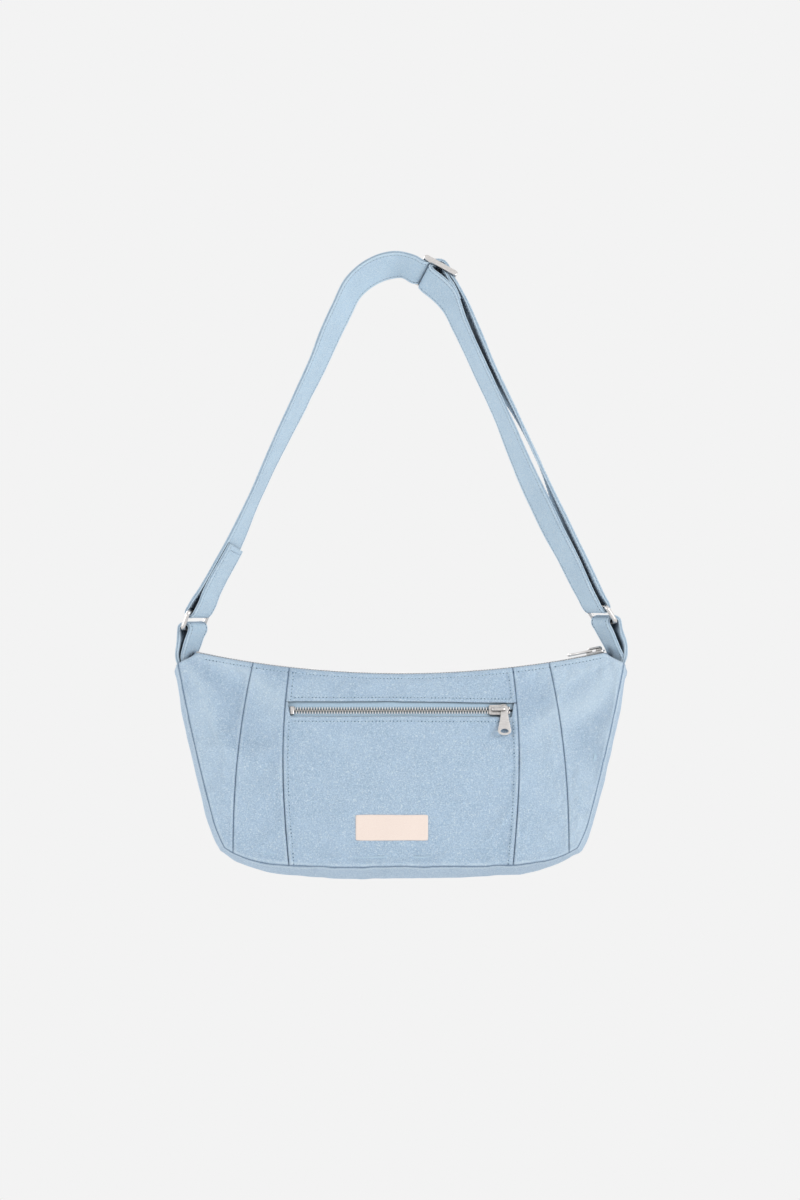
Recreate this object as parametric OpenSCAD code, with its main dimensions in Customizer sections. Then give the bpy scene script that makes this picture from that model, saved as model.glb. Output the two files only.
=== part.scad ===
// Trapeze shoulder bag hanging from its strap. The origin is the middle of the strap at its top,
// +Z is up and the front faces -Y.

/* [Bag body] */
// Half of the width over the top corners
half_w = 199; // [185:1:215]
// Height from the ends of the mouth down to the front seam at the base
seam_h = 188; // [170:1:210]
// How far the mouth sags in the middle
mouth_sag = 18.5; // [14:0.5:24]
// Half depth of the mouth between its zip seams
mouth_half = 15; // [14:0.5:19]
// Half depth at the top corners
end_half = 24; // [23.5:0.5:27]
// Half depth at the base
base_half = 48; // [42:1:56]
// How far the front and back bulge between their seams
panel_bulge = 6; // [4:0.5:9]
// How far the gusset bulges past its side seams
gusset_bulge = 5; // [3:0.5:7]
// How far the gusset hangs below the base seam
base_sag = 11; // [8:0.5:14]
// Thickness of the canvas at a panel
cloth = 2; // [1.4:0.1:2.4]
// Thickness of the zip tapes and the pouch cloth
thin_cloth = 0.9; // [0.6:0.1:1]

/* [Strap] */
// Distance from the top of the strap down to the ends of the mouth
strap_drop = 341; // [310:1:370]
// Width of the strap and of the tabs
strap_w = 38; // [36:0.5:38.5]
// Thickness of the folded strap
strap_t = 3; // [2.4:0.1:3.4]
// Length of the stitched fold at the left ring
fold_l = 67; // [55:1:80]
// Distance between the two runs of the doubled strap
run_gap = 6.6; // [6.2:0.1:8]
// Turn of rings and tabs about the vertical, front edge outward
twist = 23; // [15:1:26]

/* [Rings and tabs] */
// Wire diameter of the rings
wire_d = 4; // [3.4:0.1:4.4]
// Distance between the two long bars of a ring
ring_pitch = 15; // [14:0.5:17]
// Thickness of one layer of a tab
tab_t = 1.7; // [1.4:0.1:2]
// Play of the ring inside the open fold of a tab, each way
ring_play = 1.1; // [0.8:0.1:1.3]
// Distance of the tabs' middle from the outer corner
tab_inset = 10.7; // [10:0.1:12]
// Height of the swing axis above the ends of the mouth
axis_rise = 6; // [5:0.5:7]

/* [Buckle] */
// Length of the slide buckle along the strap
buckle_l = 33; // [30:0.5:36]
// Thickness of the buckle's bars
buckle_t = 3.2; // [2.8:0.1:3.6]

/* [Zips] */
// Width of one row of teeth
teeth_w = 2.6; // [2.2:0.1:2.8]
// Height of a row of teeth
teeth_h = 2.6; // [2:0.1:3]
// Gap between the two rows, where the slider's wedge runs
row_gap = 1.2; // [1.1:0.1:1.6]
// Length of a slider
slider_l = 16.5; // [14:0.5:18]
// Width of a slider
slider_w = 10.4; // [10:0.1:11.4]
// Thickness of a slider's plates
plate_t = 1.4; // [1.2:0.1:1.6]
// Length of a pull
pull_l = 25; // [20:1:30]
// Width of a pull at its free end
pull_w = 12; // [9:0.5:13]
// Thickness of a pull
pull_t = 1.3; // [1:0.1:1.4]
// Running clearance of the sliders, and gap between parts that move
clear = 0.3; // [0.25:0.05:0.4]
// Half length of the pocket zip
pocket_zip_half = 94; // [85:1:96]
// Drop of the pocket zip below the middle of the mouth
pocket_zip_drop = 32.5; // [30:0.5:40]
// Half height of the slot for the pocket zip
slot_half = 5.8; // [5.7:0.1:6.4]
// Depth of the pocket behind its panel
pouch_depth = 12; // [10:0.5:14]

/* [Label] */
// Length of the sewn label
label_l = 63.5; // [50:0.5:75]
// Height of the sewn label
label_h = 22.5; // [16:0.5:30]
// Height of the label's middle above the base seam
label_rise = 34; // [30:0.5:60]

/* [Hidden] */
$fn = 32;

canvas = "#aec8e0";
canvas_dark = "#9fb9d3";
strap_blue = "#b9d5e8";
metal = "#d9d3cf";
tape_blue = "#a9c2da";
label_pink = "#f6e5dc";

// Levels and places that follow from the sizes above
mouth_end_z = -strap_drop;
mouth_mid_z = mouth_end_z - mouth_sag;
base_z = mouth_end_z - seam_h;
axis_z = mouth_end_z + axis_rise;
end_zone = 2 * tab_inset;
mouth_half_l = half_w - end_zone + clear;
mouth_r = (mouth_half_l * mouth_half_l + mouth_sag * mouth_sag) / (2 * mouth_sag);
mouth_centre_z = mouth_mid_z + mouth_r;
side_top_x = half_w - 3;
corner_x = half_w - 41;
corner_drop = 9;
corner_rise = 19;
princess_top_x = half_w - 69;
princess_low_x = corner_x - 11;
pocket_half_w = pocket_zip_half + 4;
pocket_swell = 5.5;
gusset_top_z = mouth_end_z - 3;
knuckle_r = strap_w / 2 - 0.2;
tab_half = knuckle_r - 0.3;
seat_r = knuckle_r + 2 * clear;
wire_r = wire_d / 2;
fit = 0.08;
tuck = 0.2;
tab_x = half_w - tab_inset;
slot_w = wire_d + 2 * ring_play + 2 * clear;

// Places of the ring bars in the plane of the strap: left ring, then right ring
bar_inset = [4.9, 8.2];
bar_rise = [14.6, 20.3];
lower_bar_x = [-tab_x + bar_inset[0], tab_x - bar_inset[1]];
lower_bar_z = [axis_z + bar_rise[0], axis_z + bar_rise[1]];
ring_lean = [21.5, 34];
side_sign = [-1, 1];
function upper_bar_x(s) =
    lower_bar_x[s] - side_sign[s] * ring_pitch * sin(ring_lean[s]) * cos(twist);
function upper_bar_z(s) = lower_bar_z[s] + ring_pitch * cos(ring_lean[s]);

function unit(v) = v / norm(v);
function bump(t) = sin(180 * min(1, max(0, t)));

// Point between p1 and p2 on a smooth curve through four stations
function curve_point(p0, p1, p2, p3, t) =
    0.5 * (2 * p1 + (p2 - p0) * t + (2 * p0 - 5 * p1 + 4 * p2 - p3) * t * t
        + (3 * p1 - p0 - 3 * p2 + p3) * t * t * t);
function smooth_path(path, n) = [
    for (i = [0 : len(path) - 2], k = [0 : n - 1])
        curve_point(path[max(i - 1, 0)], path[i], path[i + 1],
            path[min(i + 2, len(path) - 1)], k / n),
    path[len(path) - 1]
];

// Closed solid through rings of points: each ring holds one face's row, then the other's reversed
module loft(rings, flip = false) {
    n = len(rings);
    m = len(rings[0]);
    points = [for (ring = rings, p = ring) p];
    walls = [for (i = [0 : n - 2], j = [0 : m - 1])
        let (a = i * m + j, b = i * m + (j + 1) % m, c = b + m, d = a + m)
        each [[a, b, c], [a, c, d]]];
    start = [for (j = [0 : m / 2 - 2])
        each [[j, m - 1 - j, m - 2 - j], [j, m - 2 - j, j + 1]]];
    last = (n - 1) * m;
    end = [for (t = start) [last + t[0], last + t[2], last + t[1]]];
    faces = concat(walls, start, end);
    polyhedron(points, flip ? [for (f = faces) [f[2], f[1], f[0]]] : faces, convexity = 6);
}

// The bag's outline. Seams run from the mouth (v = 0) to the base seam (v = 1).
function mouth_z(x) = mouth_centre_z - sqrt(mouth_r * mouth_r - x * x);
function edge_z(x) =
    mouth_z(min(abs(x), mouth_half_l))
    - corner_drop * max(0, (abs(x) - mouth_half_l) / (side_top_x - mouth_half_l));
function base_seam_z(x) = base_z + corner_rise * pow(abs(x) / corner_x, 6.5);
function side_x(v) = side_top_x - (side_top_x - corner_x) * (0.79 * v + 0.21 * v * v);
function princess_x(v) =
    princess_top_x + (princess_low_x - princess_top_x) * (1 - pow(1 - v, 2.2));
function pocket_x(v) = pocket_half_w + pocket_swell * bump(pow(v, 0.9));
function seam_x(k, v) =
    k == 0 ? -side_x(v) : k == 1 ? -princess_x(v) : k == 2 ? -pocket_x(v)
    : k == 3 ? pocket_x(v) : k == 4 ? princess_x(v) : side_x(v);

// Half depth of the bag's outside
function top_half(x) =
    mouth_half + (end_half - mouth_half) * pow(max(0, abs(x) / side_top_x - 0.5) * 2, 1.6);
function low_half(x) = base_half - 4 * pow(x / corner_x, 2);
function half_depth(x, v) =
    top_half(x) + (low_half(x) - top_half(x)) * pow(v, 0.85)
    + panel_bulge * bump(v) * (1 - pow(min(1, abs(x) / side_x(v)), 2));

// Panel between two seams: y_sign -1 is the front, and inset moves it inward
module panel(k0, k1, v0, v1, y_sign, nu, nv, inset = 0, thick = cloth) {
    loft([for (i = [0 : nv]) let (v = v0 + (v1 - v0) * i / nv) concat(
        [for (j = [0 : nu]) panel_point(k0, k1, j / nu, v, y_sign, inset)],
        [for (j = [nu : -1 : 0]) panel_point(k0, k1, j / nu, v, y_sign, inset + thick)]
    )], y_sign > 0);
}
function panel_point(k0, k1, s, v, y_sign, inset) =
    let (x = seam_x(k0, v) * (1 - s) + seam_x(k1, v) * s,
        x0 = seam_x(k0, 0) * (1 - s) + seam_x(k1, 0) * s,
        x1 = seam_x(k0, 1) * (1 - s) + seam_x(k1, 1) * s)
    [x, y_sign * (half_depth(x, v) - inset), edge_z(x0) * (1 - v) + base_seam_z(x1) * v];

module front_side_left() { color(canvas) panel(0, 1, 0, 1, -1, 4, 12); }
module front_inner_left() { color(canvas) panel(1, 2, 0, 1, -1, 3, 12); }
module front_inner_right() { color(canvas) panel(3, 4, 0, 1, -1, 3, 12); }
module front_side_right() { color(canvas) panel(4, 5, 0, 1, -1, 4, 12); }
module back_side_left() { color(canvas) panel(0, 1, 0, 1, 1, 4, 12); }
module back_centre() { color(canvas) panel(1, 4, 0, 1, 1, 12, 12); }
module back_side_right() { color(canvas) panel(4, 5, 0, 1, 1, 4, 12); }

// The zip slot lies level across the pocket, so its edges follow one height and not one share
pocket_zip_z = mouth_mid_z - pocket_zip_drop;
function row_v(x, z) = (edge_z(x) - z) / (edge_z(x) - base_seam_z(x));
module level_panel(z0, z1, nu, nv, inset = 0, thick = cloth, half = 1) {
    function point(s, t, deep) =
        let (xt = half * pocket_half_w * (2 * s - 1),
            zt = z0 == undef ? edge_z(xt) : z0,
            zb = z1 == undef ? base_seam_z(xt) : z1,
            z = zt * (1 - t) + zb * t,
            v = row_v(xt, z),
            x = half * pocket_x(v) * (2 * s - 1))
        [x, -(half_depth(x, v) - deep), z];
    loft([for (i = [0 : nv]) concat(
        [for (j = [0 : nu]) point(j / nu, i / nv, inset)],
        [for (j = [nu : -1 : 0]) point(j / nu, i / nv, inset + thick)]
    )]);
}
module front_top_strip() { color(canvas) level_panel(undef, pocket_zip_z + slot_half, 12, 3); }
module front_pocket_panel() { color(canvas) level_panel(pocket_zip_z - slot_half, undef, 12, 10); }

// Path of the gusset's seam: down the left side, along the base and up the right side
side_steps = 10;
base_steps = 20;
function side_point(v) = [side_x(v), edge_z(side_top_x) * (1 - v) + base_seam_z(corner_x) * v];
seam_path = concat(
    [for (i = [0 : side_steps - 1]) let (p = side_point(i / side_steps)) [-p[0], p[1], i / side_steps]],
    [for (i = [0 : base_steps]) let (x = corner_x * sin(90 * (2 * i / base_steps - 1)))
        [x, base_seam_z(x), 1]],
    [for (i = [side_steps - 1 : -1 : 0]) let (p = side_point(i / side_steps)) [p[0], p[1], i / side_steps]]
);
seam_n = len(seam_path);
function seam_at(i) = seam_path[min(max(i, 0), seam_n - 1)];
function seam_out(i) =
    let (d = unit([seam_at(i + 2)[0] - seam_at(i - 2)[0], seam_at(i + 2)[1] - seam_at(i - 2)[1]]))
    [d[1], -d[0]];
function seam_bulge(i) =
    let (p = seam_at(i)) p[2] < 1 ? gusset_bulge * min(1, 0.65 + p[2])
    : gusset_bulge + (base_sag - gusset_bulge) * (1 - pow(abs(p[0]) / corner_x, 2));
edge_gap = 0.35;
function gusset_point(i, u, deep) =
    let (p = seam_at(i), h = half_depth(p[0], p[2]) - cloth - edge_gap, o = seam_out(i),
        b = seam_bulge(i) * (1 - u * u) - deep,
        top = i == 0 || i == seam_n - 1,
        scoop = axis_z - sqrt(max(0, seat_r * seat_r - h * h * u * u)),
        z = p[1] + o[1] * b)
    [p[0] + o[0] * b, h * u, top ? min(gusset_top_z, scoop) : min(z, gusset_top_z - 15)];
module gusset_part(i0, i1) {
    nu = 12;
    loft([for (i = [i0 : i1]) concat(
        [for (j = [0 : nu]) gusset_point(i, 2 * j / nu - 1, 0)],
        [for (j = [nu : -1 : 0]) gusset_point(i, 2 * j / nu - 1, cloth)]
    )], true);
}
module gusset_left() { color(canvas_dark) gusset_part(0, side_steps); }
module gusset_base() { color(canvas_dark) gusset_part(side_steps, side_steps + base_steps); }
module gusset_right() { color(canvas_dark) gusset_part(side_steps + base_steps, seam_n - 1); }

// Bound seam allowance: a narrow strip inside, along the front or the back seam
binding_w = 7;
binding_t = 1.6;
binding_gap = 3 * clear;
module seam_binding(y_sign) {
    color(tape_blue) loft([for (i = [1 : seam_n - 2])
        let (p = seam_at(i), o = seam_out(i), h = half_depth(p[0], p[2]) - cloth - binding_gap)
        [for (c = [[0, 0], [1, 0], [1, 1], [0, 1]])
            [p[0] - o[0] * (cloth + 0.6 + binding_w * c[0]), y_sign * (h - binding_t * c[1]),
                p[1] - o[1] * (cloth + 0.6 + binding_w * c[0])]]
    ], y_sign < 0);
}
module front_seam_binding() { seam_binding(-1); }
module back_seam_binding() { seam_binding(1); }

// Main zip along the mouth: its chain follows the arc, level in Y
chain_drop = 1.6;
tape_end_x = half_w - end_zone - 2.4;
row_in = row_gap / 2;
row_out = row_in + teeth_w;
teeth_end_x = tape_end_x + 5;
chain_r = mouth_r + chain_drop;
function chain_z(x) = mouth_centre_z - sqrt(chain_r * chain_r - x * x);
module main_tape(y_sign) {
    n = 24;
    color(tape_blue) loft([for (i = [0 : n]) let (x = tape_end_x * (2 * i / n - 1), z = chain_z(x))
        [for (c = [[0, 1], [1, 1], [1, -1], [0, -1]])
            [x, y_sign * (c[0] == 0 ? row_out : top_half(x) - cloth - clear), z + c[1] * thin_cloth / 2]]
    ], y_sign > 0);
}
module main_tape_front() { main_tape(-1); }
module main_tape_back() { main_tape(1); }
module main_teeth(y_sign) {
    sweep = 2 * asin(teeth_end_x / chain_r);
    color(metal) translate([0, 0, mouth_centre_z]) rotate([90, 0, 0])
        rotate([0, 0, -90 - sweep / 2]) rotate_extrude(angle = sweep, $fn = 200)
            translate([chain_r - teeth_h / 2, y_sign > 0 ? -row_out : row_in])
                square([teeth_h, teeth_w]);
}
module main_teeth_front() { main_teeth(-1); }
module main_teeth_back() { main_teeth(1); }

// Places children, drawn with the chain along X and up along Z, on the main zip at x
module on_mouth(x) {
    translate([0, 0, mouth_centre_z]) rotate([0, -asin(x / chain_r), 0])
        translate([0, 0, -chain_r]) children();
}
stop_l = 1.6;
module stop_pair() {
    for (y_sign = [-1, 1])
        translate([-stop_l / 2, y_sign > 0 ? row_in : -row_out, -teeth_h / 2])
            cube([stop_l, teeth_w, teeth_h]);
}
module main_zip_stops() {
    color(metal) {
        on_mouth(teeth_end_x + stop_l / 2) stop_pair();
        on_mouth(-teeth_end_x - stop_l / 2) stop_pair();
    }
}

// Zip slider: two plates round the chain, joined by the wedge between the rows, with a bridge
plate_z = teeth_h / 2 + clear;
top_z = plate_z + plate_t;
bridge_r = 0.9;
bridge_x = slider_l / 2 - 3;
bridge_z = top_z + clear + pull_t + 0.5 + bridge_r;
module slider() {
    rear = slider_w * 0.42;
    module outline() {
        polygon([[-slider_l / 2, -rear], [slider_l / 4, -slider_w / 2], [slider_l / 2, -rear],
            [slider_l / 2, rear], [slider_l / 4, slider_w / 2], [-slider_l / 2, rear]]);
    }
    for (z = [plate_z, -top_z])
        translate([0, 0, z]) linear_extrude(plate_t) outline();
    for (y_sign = [-1, 1], z_sign = [-1, 1])
        translate([-slider_l / 2 + 1, y_sign > 0 ? row_out + clear : -rear,
            z_sign > 0 ? thin_cloth / 2 + clear : -plate_z - 0.1])
            cube([slider_l - 2, rear - row_out - clear, plate_z + 0.1 - thin_cloth / 2 - clear]);
    translate([slider_l / 4 - 2.5, -row_in + clear, -plate_z - 0.1])
        cube([5, row_gap - 2 * clear, 2 * plate_z + 0.2]);
    for (x = [-bridge_x, bridge_x])
        translate([x, 0, top_z - 0.1]) cylinder(r = bridge_r, h = bridge_z - top_z + 0.1);
    translate([-bridge_x, 0, bridge_z]) rotate([0, 90, 0]) cylinder(r = bridge_r, h = 2 * bridge_x);
    for (x = [-bridge_x, bridge_x]) translate([x, 0, bridge_z]) sphere(r = bridge_r);
}

main_slider_x = teeth_end_x - slider_l / 2 - clear;
module main_slider() { color(metal) on_mouth(main_slider_x) slider(); }

// Pull blade: its free end lies down along -Y, with a hole near the end
eye_r = 3.6;
pull_hole_r = 2.2;
pull_reach = pull_l - eye_r;
module pull_blade(from_y, neck) {
    polygon([[-neck, -from_y], [neck, -from_y], [pull_w / 2, -pull_reach + 2],
        [pull_w / 2 - 1.5, -pull_reach], [-pull_w / 2 + 1.5, -pull_reach],
        [-pull_w / 2, -pull_reach + 2]]);
}
module pull_hole() {
    translate([0, -pull_reach + 2 + pull_hole_r]) circle(r = pull_hole_r);
}

// The main pull turns on its own crossbar, held under the bridge
crossbar_r = 0.8;
crossbar_x = -bridge_x + bridge_r + 0.2 + crossbar_r;
crossbar_z = top_z + clear + crossbar_r + 0.1;
arm_in = bridge_r + clear + 0.3;
arm_w = 1.2;
arm_l = 4.6;
module main_pull() {
    color(metal) on_mouth(main_slider_x) translate([crossbar_x, 0, crossbar_z]) {
        rotate([90, 0, 0]) cylinder(r = crossbar_r, h = 2 * arm_in + 2, center = true);
        for (y_sign = [-1, 1])
            translate([-arm_l, y_sign > 0 ? arm_in : -arm_in - arm_w, -pull_t / 2])
                cube([arm_l, arm_w, pull_t]);
        translate([0, 0, -pull_t / 2]) rotate([0, 0, -90]) linear_extrude(pull_t) difference() {
            pull_blade(arm_l - 0.4, eye_r);
            pull_hole();
        }
    }
}

// Pocket zip: a straight chain just behind the slot, tilted with the panel
chain_depth = cloth + clear + thin_cloth / 2 + 0.25;
pocket_v = row_v(0, pocket_zip_z);
pocket_y = half_depth(0, pocket_v);
pocket_tilt = atan((half_depth(0, row_v(0, pocket_zip_z - slot_half))
    - half_depth(0, row_v(0, pocket_zip_z + slot_half))) / (2 * slot_half));
module on_pocket(x) {
    translate([x, -pocket_y, pocket_zip_z]) rotate([90 - pocket_tilt, 0, 0])
        translate([0, 0, -chain_depth]) children();
}
pocket_tape_w = 5.2;
pocket_tape_l = 2 * (pocket_zip_half + stop_l + clear);
module pocket_tape(y_sign) {
    color(tape_blue) on_pocket(0)
        translate([-pocket_tape_l / 2, y_sign > 0 ? row_out : -row_out - pocket_tape_w, -thin_cloth / 2])
            cube([pocket_tape_l, pocket_tape_w, thin_cloth]);
}
module pocket_tape_upper() { pocket_tape(1); }
module pocket_tape_lower() { pocket_tape(-1); }
module pocket_teeth(y_sign) {
    color(metal) on_pocket(0)
        translate([-pocket_zip_half, y_sign > 0 ? row_in : -row_out, -teeth_h / 2])
            cube([2 * pocket_zip_half, teeth_w, teeth_h]);
}
module pocket_teeth_upper() { pocket_teeth(1); }
module pocket_teeth_lower() { pocket_teeth(-1); }
module pocket_zip_stops() {
    color(metal) for (x_sign = [-1, 1])
        on_pocket(x_sign * (pocket_zip_half + stop_l / 2)) stop_pair();
}
pocket_slider_x = pocket_zip_half - slider_l / 2 - clear;
module pocket_slider() { color(metal) on_pocket(pocket_slider_x) slider(); }
module pocket_pull() {
    color(metal) on_pocket(pocket_slider_x + bridge_x) translate([0, 0, top_z + clear])
        difference() {
            union() {
                cylinder(r = eye_r, h = pull_t);
                linear_extrude(pull_t) pull_blade(0.8, eye_r - tuck);
            }
            translate([0, 0, -1]) linear_extrude(pull_t + 2) {
                circle(r = bridge_r + fit);
                pull_hole();
            }
        }
}

// Pocket pouch: a bowed sheet that leaves the panel above the zip and meets it again at its seams
pouch_levels = concat([12.5, 9, 5.5, 0, -14],
    [for (i = [1 : 6]) -14 + i / 6 * (base_z + 21 - pocket_zip_z + 14)],
    [base_z + 13 - pocket_zip_z]);
pouch_share = [0, 0.2, 0.55, 0.95, 1, 1, 1, 1, 1, 0.95, 0.6, 0];
module pocket_pouch() {
    nu = 24;
    half = pocket_half_w + 3.5;
    function deep(s, k) = cloth + clear + pouch_depth * pouch_share[k] * (1 - pow(abs(2 * s - 1), 16));
    function point(s, k, more) =
        let (x = half * (2 * s - 1), z = pocket_zip_z + pouch_levels[k])
        [x, -(half_depth(x, row_v(x, z)) - deep(s, k) - more), z];
    color(tape_blue) loft([for (k = [0 : len(pouch_levels) - 1]) concat(
        [for (j = [0 : nu]) point(j / nu, k, 0)],
        [for (j = [nu : -1 : 0]) point(j / nu, k, thin_cloth)]
    )]);
}

// Label sewn on the pocket panel
label_x = -8;
label_t = 0.6;
module label() {
    nu = 4;
    z0 = base_z + label_rise;
    function point(s, t, out) =
        let (x = label_x + label_l * (s - 0.5), z = z0 + label_h * (0.5 - t))
        [x, -(half_depth(x, row_v(x, z)) + out), z];
    color(label_pink) loft([for (i = [0 : nu]) concat(
        [for (j = [0 : nu]) point(j / nu, i / nu, label_t + 0.1)],
        [for (j = [nu : -1 : 0]) point(j / nu, i / nu, 0.1)]
    )]);
}

// Flat strap swept along stations of its front edge: [x, z, back edge's dx, dz, shift in y]
module band(stations, thick, n = 4) {
    path = smooth_path(stations, n);
    last = len(path) - 1;
    color(strap_blue) loft([for (i = [0 : last])
        let (p = path[i], a = path[max(i - 1, 0)], b = path[min(i + 1, last)],
            along = unit([b[0] - a[0], 0, b[1] - a[1]]),
            yw = sqrt(strap_w * strap_w - p[2] * p[2] - p[3] * p[3]),
            across = unit([p[2], yw, p[3]]),
            up = unit(cross(along, across)) * thick / 2,
            front = [p[0], p[4] - yw / 2, p[1]],
            back = front + [p[2], yw, p[3]])
        [front + up, back + up, back - up, front - up]
    ], true);
}
// Stations of the strap given as shares, in percent, of the half width and of the drop
function share(x, z, dx, dz) = [x * half_w / 100, z * strap_drop / 100, dx, dz, 0];

// Ring bars: children are drawn in the plane across a bar, through the middle of the strap
module at_bar(s, x, z) {
    translate([x, 0, z]) rotate([0, 0, side_sign[s] * twist]) children();
}
module across_bar(s) {
    at_bar(s, upper_bar_x(s), upper_bar_z(s)) rotate([90, 0, 0])
        linear_extrude(strap_w, center = true) children();
}
bar_half_x = strap_w / 2 * sin(twist);
ring_half = strap_w / 2 + 2 * clear + wire_r;
ring_corner = wire_r + 0.5;
module ring(s) {
    color(metal) at_bar(s, upper_bar_x(s), upper_bar_z(s))
        rotate([0, -side_sign[s] * ring_lean[s], 0]) {
            for (z = [0, -ring_pitch]) translate([0, 0, z]) rotate([90, 0, 0])
                cylinder(r = wire_r, h = 2 * (ring_half - ring_corner), center = true);
            for (y_sign = [-1, 1]) {
                translate([0, y_sign * ring_half, -ring_pitch + ring_corner])
                    cylinder(r = wire_r, h = ring_pitch - 2 * ring_corner);
                translate([0, y_sign * (ring_half - ring_corner), -ring_corner])
                    rotate([90, 0, 90]) rotate([0, 0, y_sign > 0 ? 0 : 90]) ring_bend();
                translate([0, y_sign * (ring_half - ring_corner), -ring_pitch + ring_corner])
                    rotate([90, 0, 90]) rotate([0, 0, y_sign > 0 ? -90 : 180]) ring_bend();
            }
        }
}
module ring_bend() {
    rotate_extrude(angle = 90) translate([ring_corner, 0]) circle(r = wire_r);
}
module left_ring() { ring(0); }
module right_ring() { ring(1); }

// Tab: a folded loop round the ring's lower bar, on a rounded tongue seated in the bag's corner
tab_loop_r = slot_w / 2 + tab_t;
tongue_half = 3.6;
tongue_rise = 5;
tongue_in = tab_x - tongue_half;
tongue_out = half_w - 0.2;
module tab(s) {
    bar_y = ring_pitch * sin(ring_lean[s]) * sin(twist);
    dx = side_sign[s] * bar_inset[s] * cos(twist) - side_sign[s] * bar_y * sin(twist);
    dz = -bar_rise[s];
    color(strap_blue) union() {
        intersection() {
            translate([side_sign[s] * (tongue_in + tongue_out) / 2, 0, axis_z]) rotate([0, 90, 0])
                cylinder(r = knuckle_r, h = tongue_out - tongue_in, center = true);
            translate([side_sign[s] * tab_x - 15, -knuckle_r - 1, axis_z - knuckle_r - 1])
                cube([30, 2 * knuckle_r + 2, knuckle_r + 1 + tongue_rise]);
        }
        intersection() {
            translate([0, bar_y, 0]) at_bar(s, lower_bar_x[s], lower_bar_z[s])
                rotate([90, 0, 0]) tab_fold(dx, dz);
            translate([side_sign[s] * tab_x - 25, -tab_half, axis_z - 1]) cube([50, 2 * tab_half, 40]);
        }
    }
}
module tab_fold(dx, dz) {
    difference() {
        union() {
            cylinder(r = tab_loop_r, h = strap_w, center = true);
            linear_extrude(strap_w, center = true)
                polygon([[-tab_loop_r + tuck, 0.5], [tab_loop_r - tuck, 0.5],
                    [dx + tongue_half, dz], [dx - tongue_half, dz]]);
        }
        cylinder(r = slot_w / 2, h = strap_w + 2, center = true);
        linear_extrude(strap_w + 2, center = true)
            polygon([[-slot_w / 2 + tuck, 0.6], [slot_w / 2 - tuck, 0.6],
                [dx + tongue_half - tab_t, dz + tongue_rise - 1],
                [dx - tongue_half + tab_t, dz + tongue_rise - 1]]);
    }
}
module left_tab() { tab(0); }
module right_tab() { tab(1); }

// Left end: the strap folded round the ring's upper bar and stitched to itself
left_lean = 28.6;
loop_r = wire_r + fit + strap_t;
module bar_loop() {
    difference() {
        circle(r = loop_r);
        circle(r = wire_r + fit);
    }
}
fold_from = loop_r + 0.1;
fold_start = [upper_bar_x(0) - bar_half_x + fold_from * sin(left_lean),
    upper_bar_z(0) + fold_from * cos(left_lean)];
fold_end = [upper_bar_x(0) - bar_half_x + fold_l * sin(left_lean),
    upper_bar_z(0) + fold_l * cos(left_lean)];
module strap_left_loop() { color(strap_blue) across_bar(0) bar_loop(); }
module strap_left_fold() {
    band([[fold_start[0], fold_start[1], 2 * bar_half_x, 0, 0],
        [fold_end[0], fold_end[1], 9.6, -6.6, 0]], 2 * strap_t, 6);
}

// Slide buckle: its centre, its slope along the strap and its lean toward the back
buckle_c = [29.7, 0, -11.3];
buckle_slope = 29;
buckle_lean = 31.8;
bar_r = buckle_t / 2;
bar_pitch = (buckle_l - buckle_t) / 2;
module on_buckle() {
    translate(buckle_c) rotate([0, buckle_slope, 0]) rotate([-buckle_lean, 0, 0]) children();
}
module slide_buckle() {
    color(metal) on_buckle() {
        for (x = [-bar_pitch, 0, bar_pitch]) translate([x, 0, 0]) rotate([90, 0, 0])
            cylinder(r = bar_r, h = 2 * ring_half, center = true);
        for (y = [-ring_half, ring_half]) translate([-bar_pitch, y, 0]) rotate([0, 90, 0])
            cylinder(r = bar_r, h = 2 * bar_pitch);
        for (x = [-bar_pitch, bar_pitch], y = [-ring_half, ring_half]) translate([x, y, 0])
            sphere(r = bar_r);
    }
}
// Station at a place along (x) and above (z) the buckle's middle
function buckle_station(x, z) =
    let (sl = sin(buckle_lean), cl = cos(buckle_lean), ss = sin(buckle_slope), cs = cos(buckle_slope),
        w = strap_w)
    [buckle_c[0] + x * cs + z * cl * ss + w / 2 * sl * ss,
        buckle_c[2] - x * ss + z * cl * cs + w / 2 * sl * cs,
        -w * sl * ss, -w * sl * cs, z * sl];
under_bar = bar_r + clear + strap_t / 2 + 0.2;
over_loop = bar_r + fit + 1.5 * strap_t + clear + 0.2;

// Main run: from the left fold over the top, under, over and under the buckle's bars
module strap_main_run() {
    band(concat(
        [[fold_end[0], fold_end[1], 9.6, -6.6, 0]],
        [share(-67.8, -61.1, 7.5, -3.6), share(-53.5, -41.9, 10.5, -4.9), share(-40.5, -25.3, 13, -6),
            share(-30.3, -10.8, 14.5, -9), share(-23.6, -3.4, 12, -15), share(-15.5, 0.7, 9, -19),
            share(-7.4, 2.6, 6, -20.5), share(-0.8, 2.9, 1, -20.5)],
        [buckle_station(-23, -under_bar), buckle_station(-bar_pitch, -under_bar),
            buckle_station(-10.5, -1), buckle_station(-6, 3.9), buckle_station(0, over_loop),
            buckle_station(6, 3.9), buckle_station(10.5, -1), buckle_station(bar_pitch, -under_bar)]
    ), strap_t, 3);
}

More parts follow.
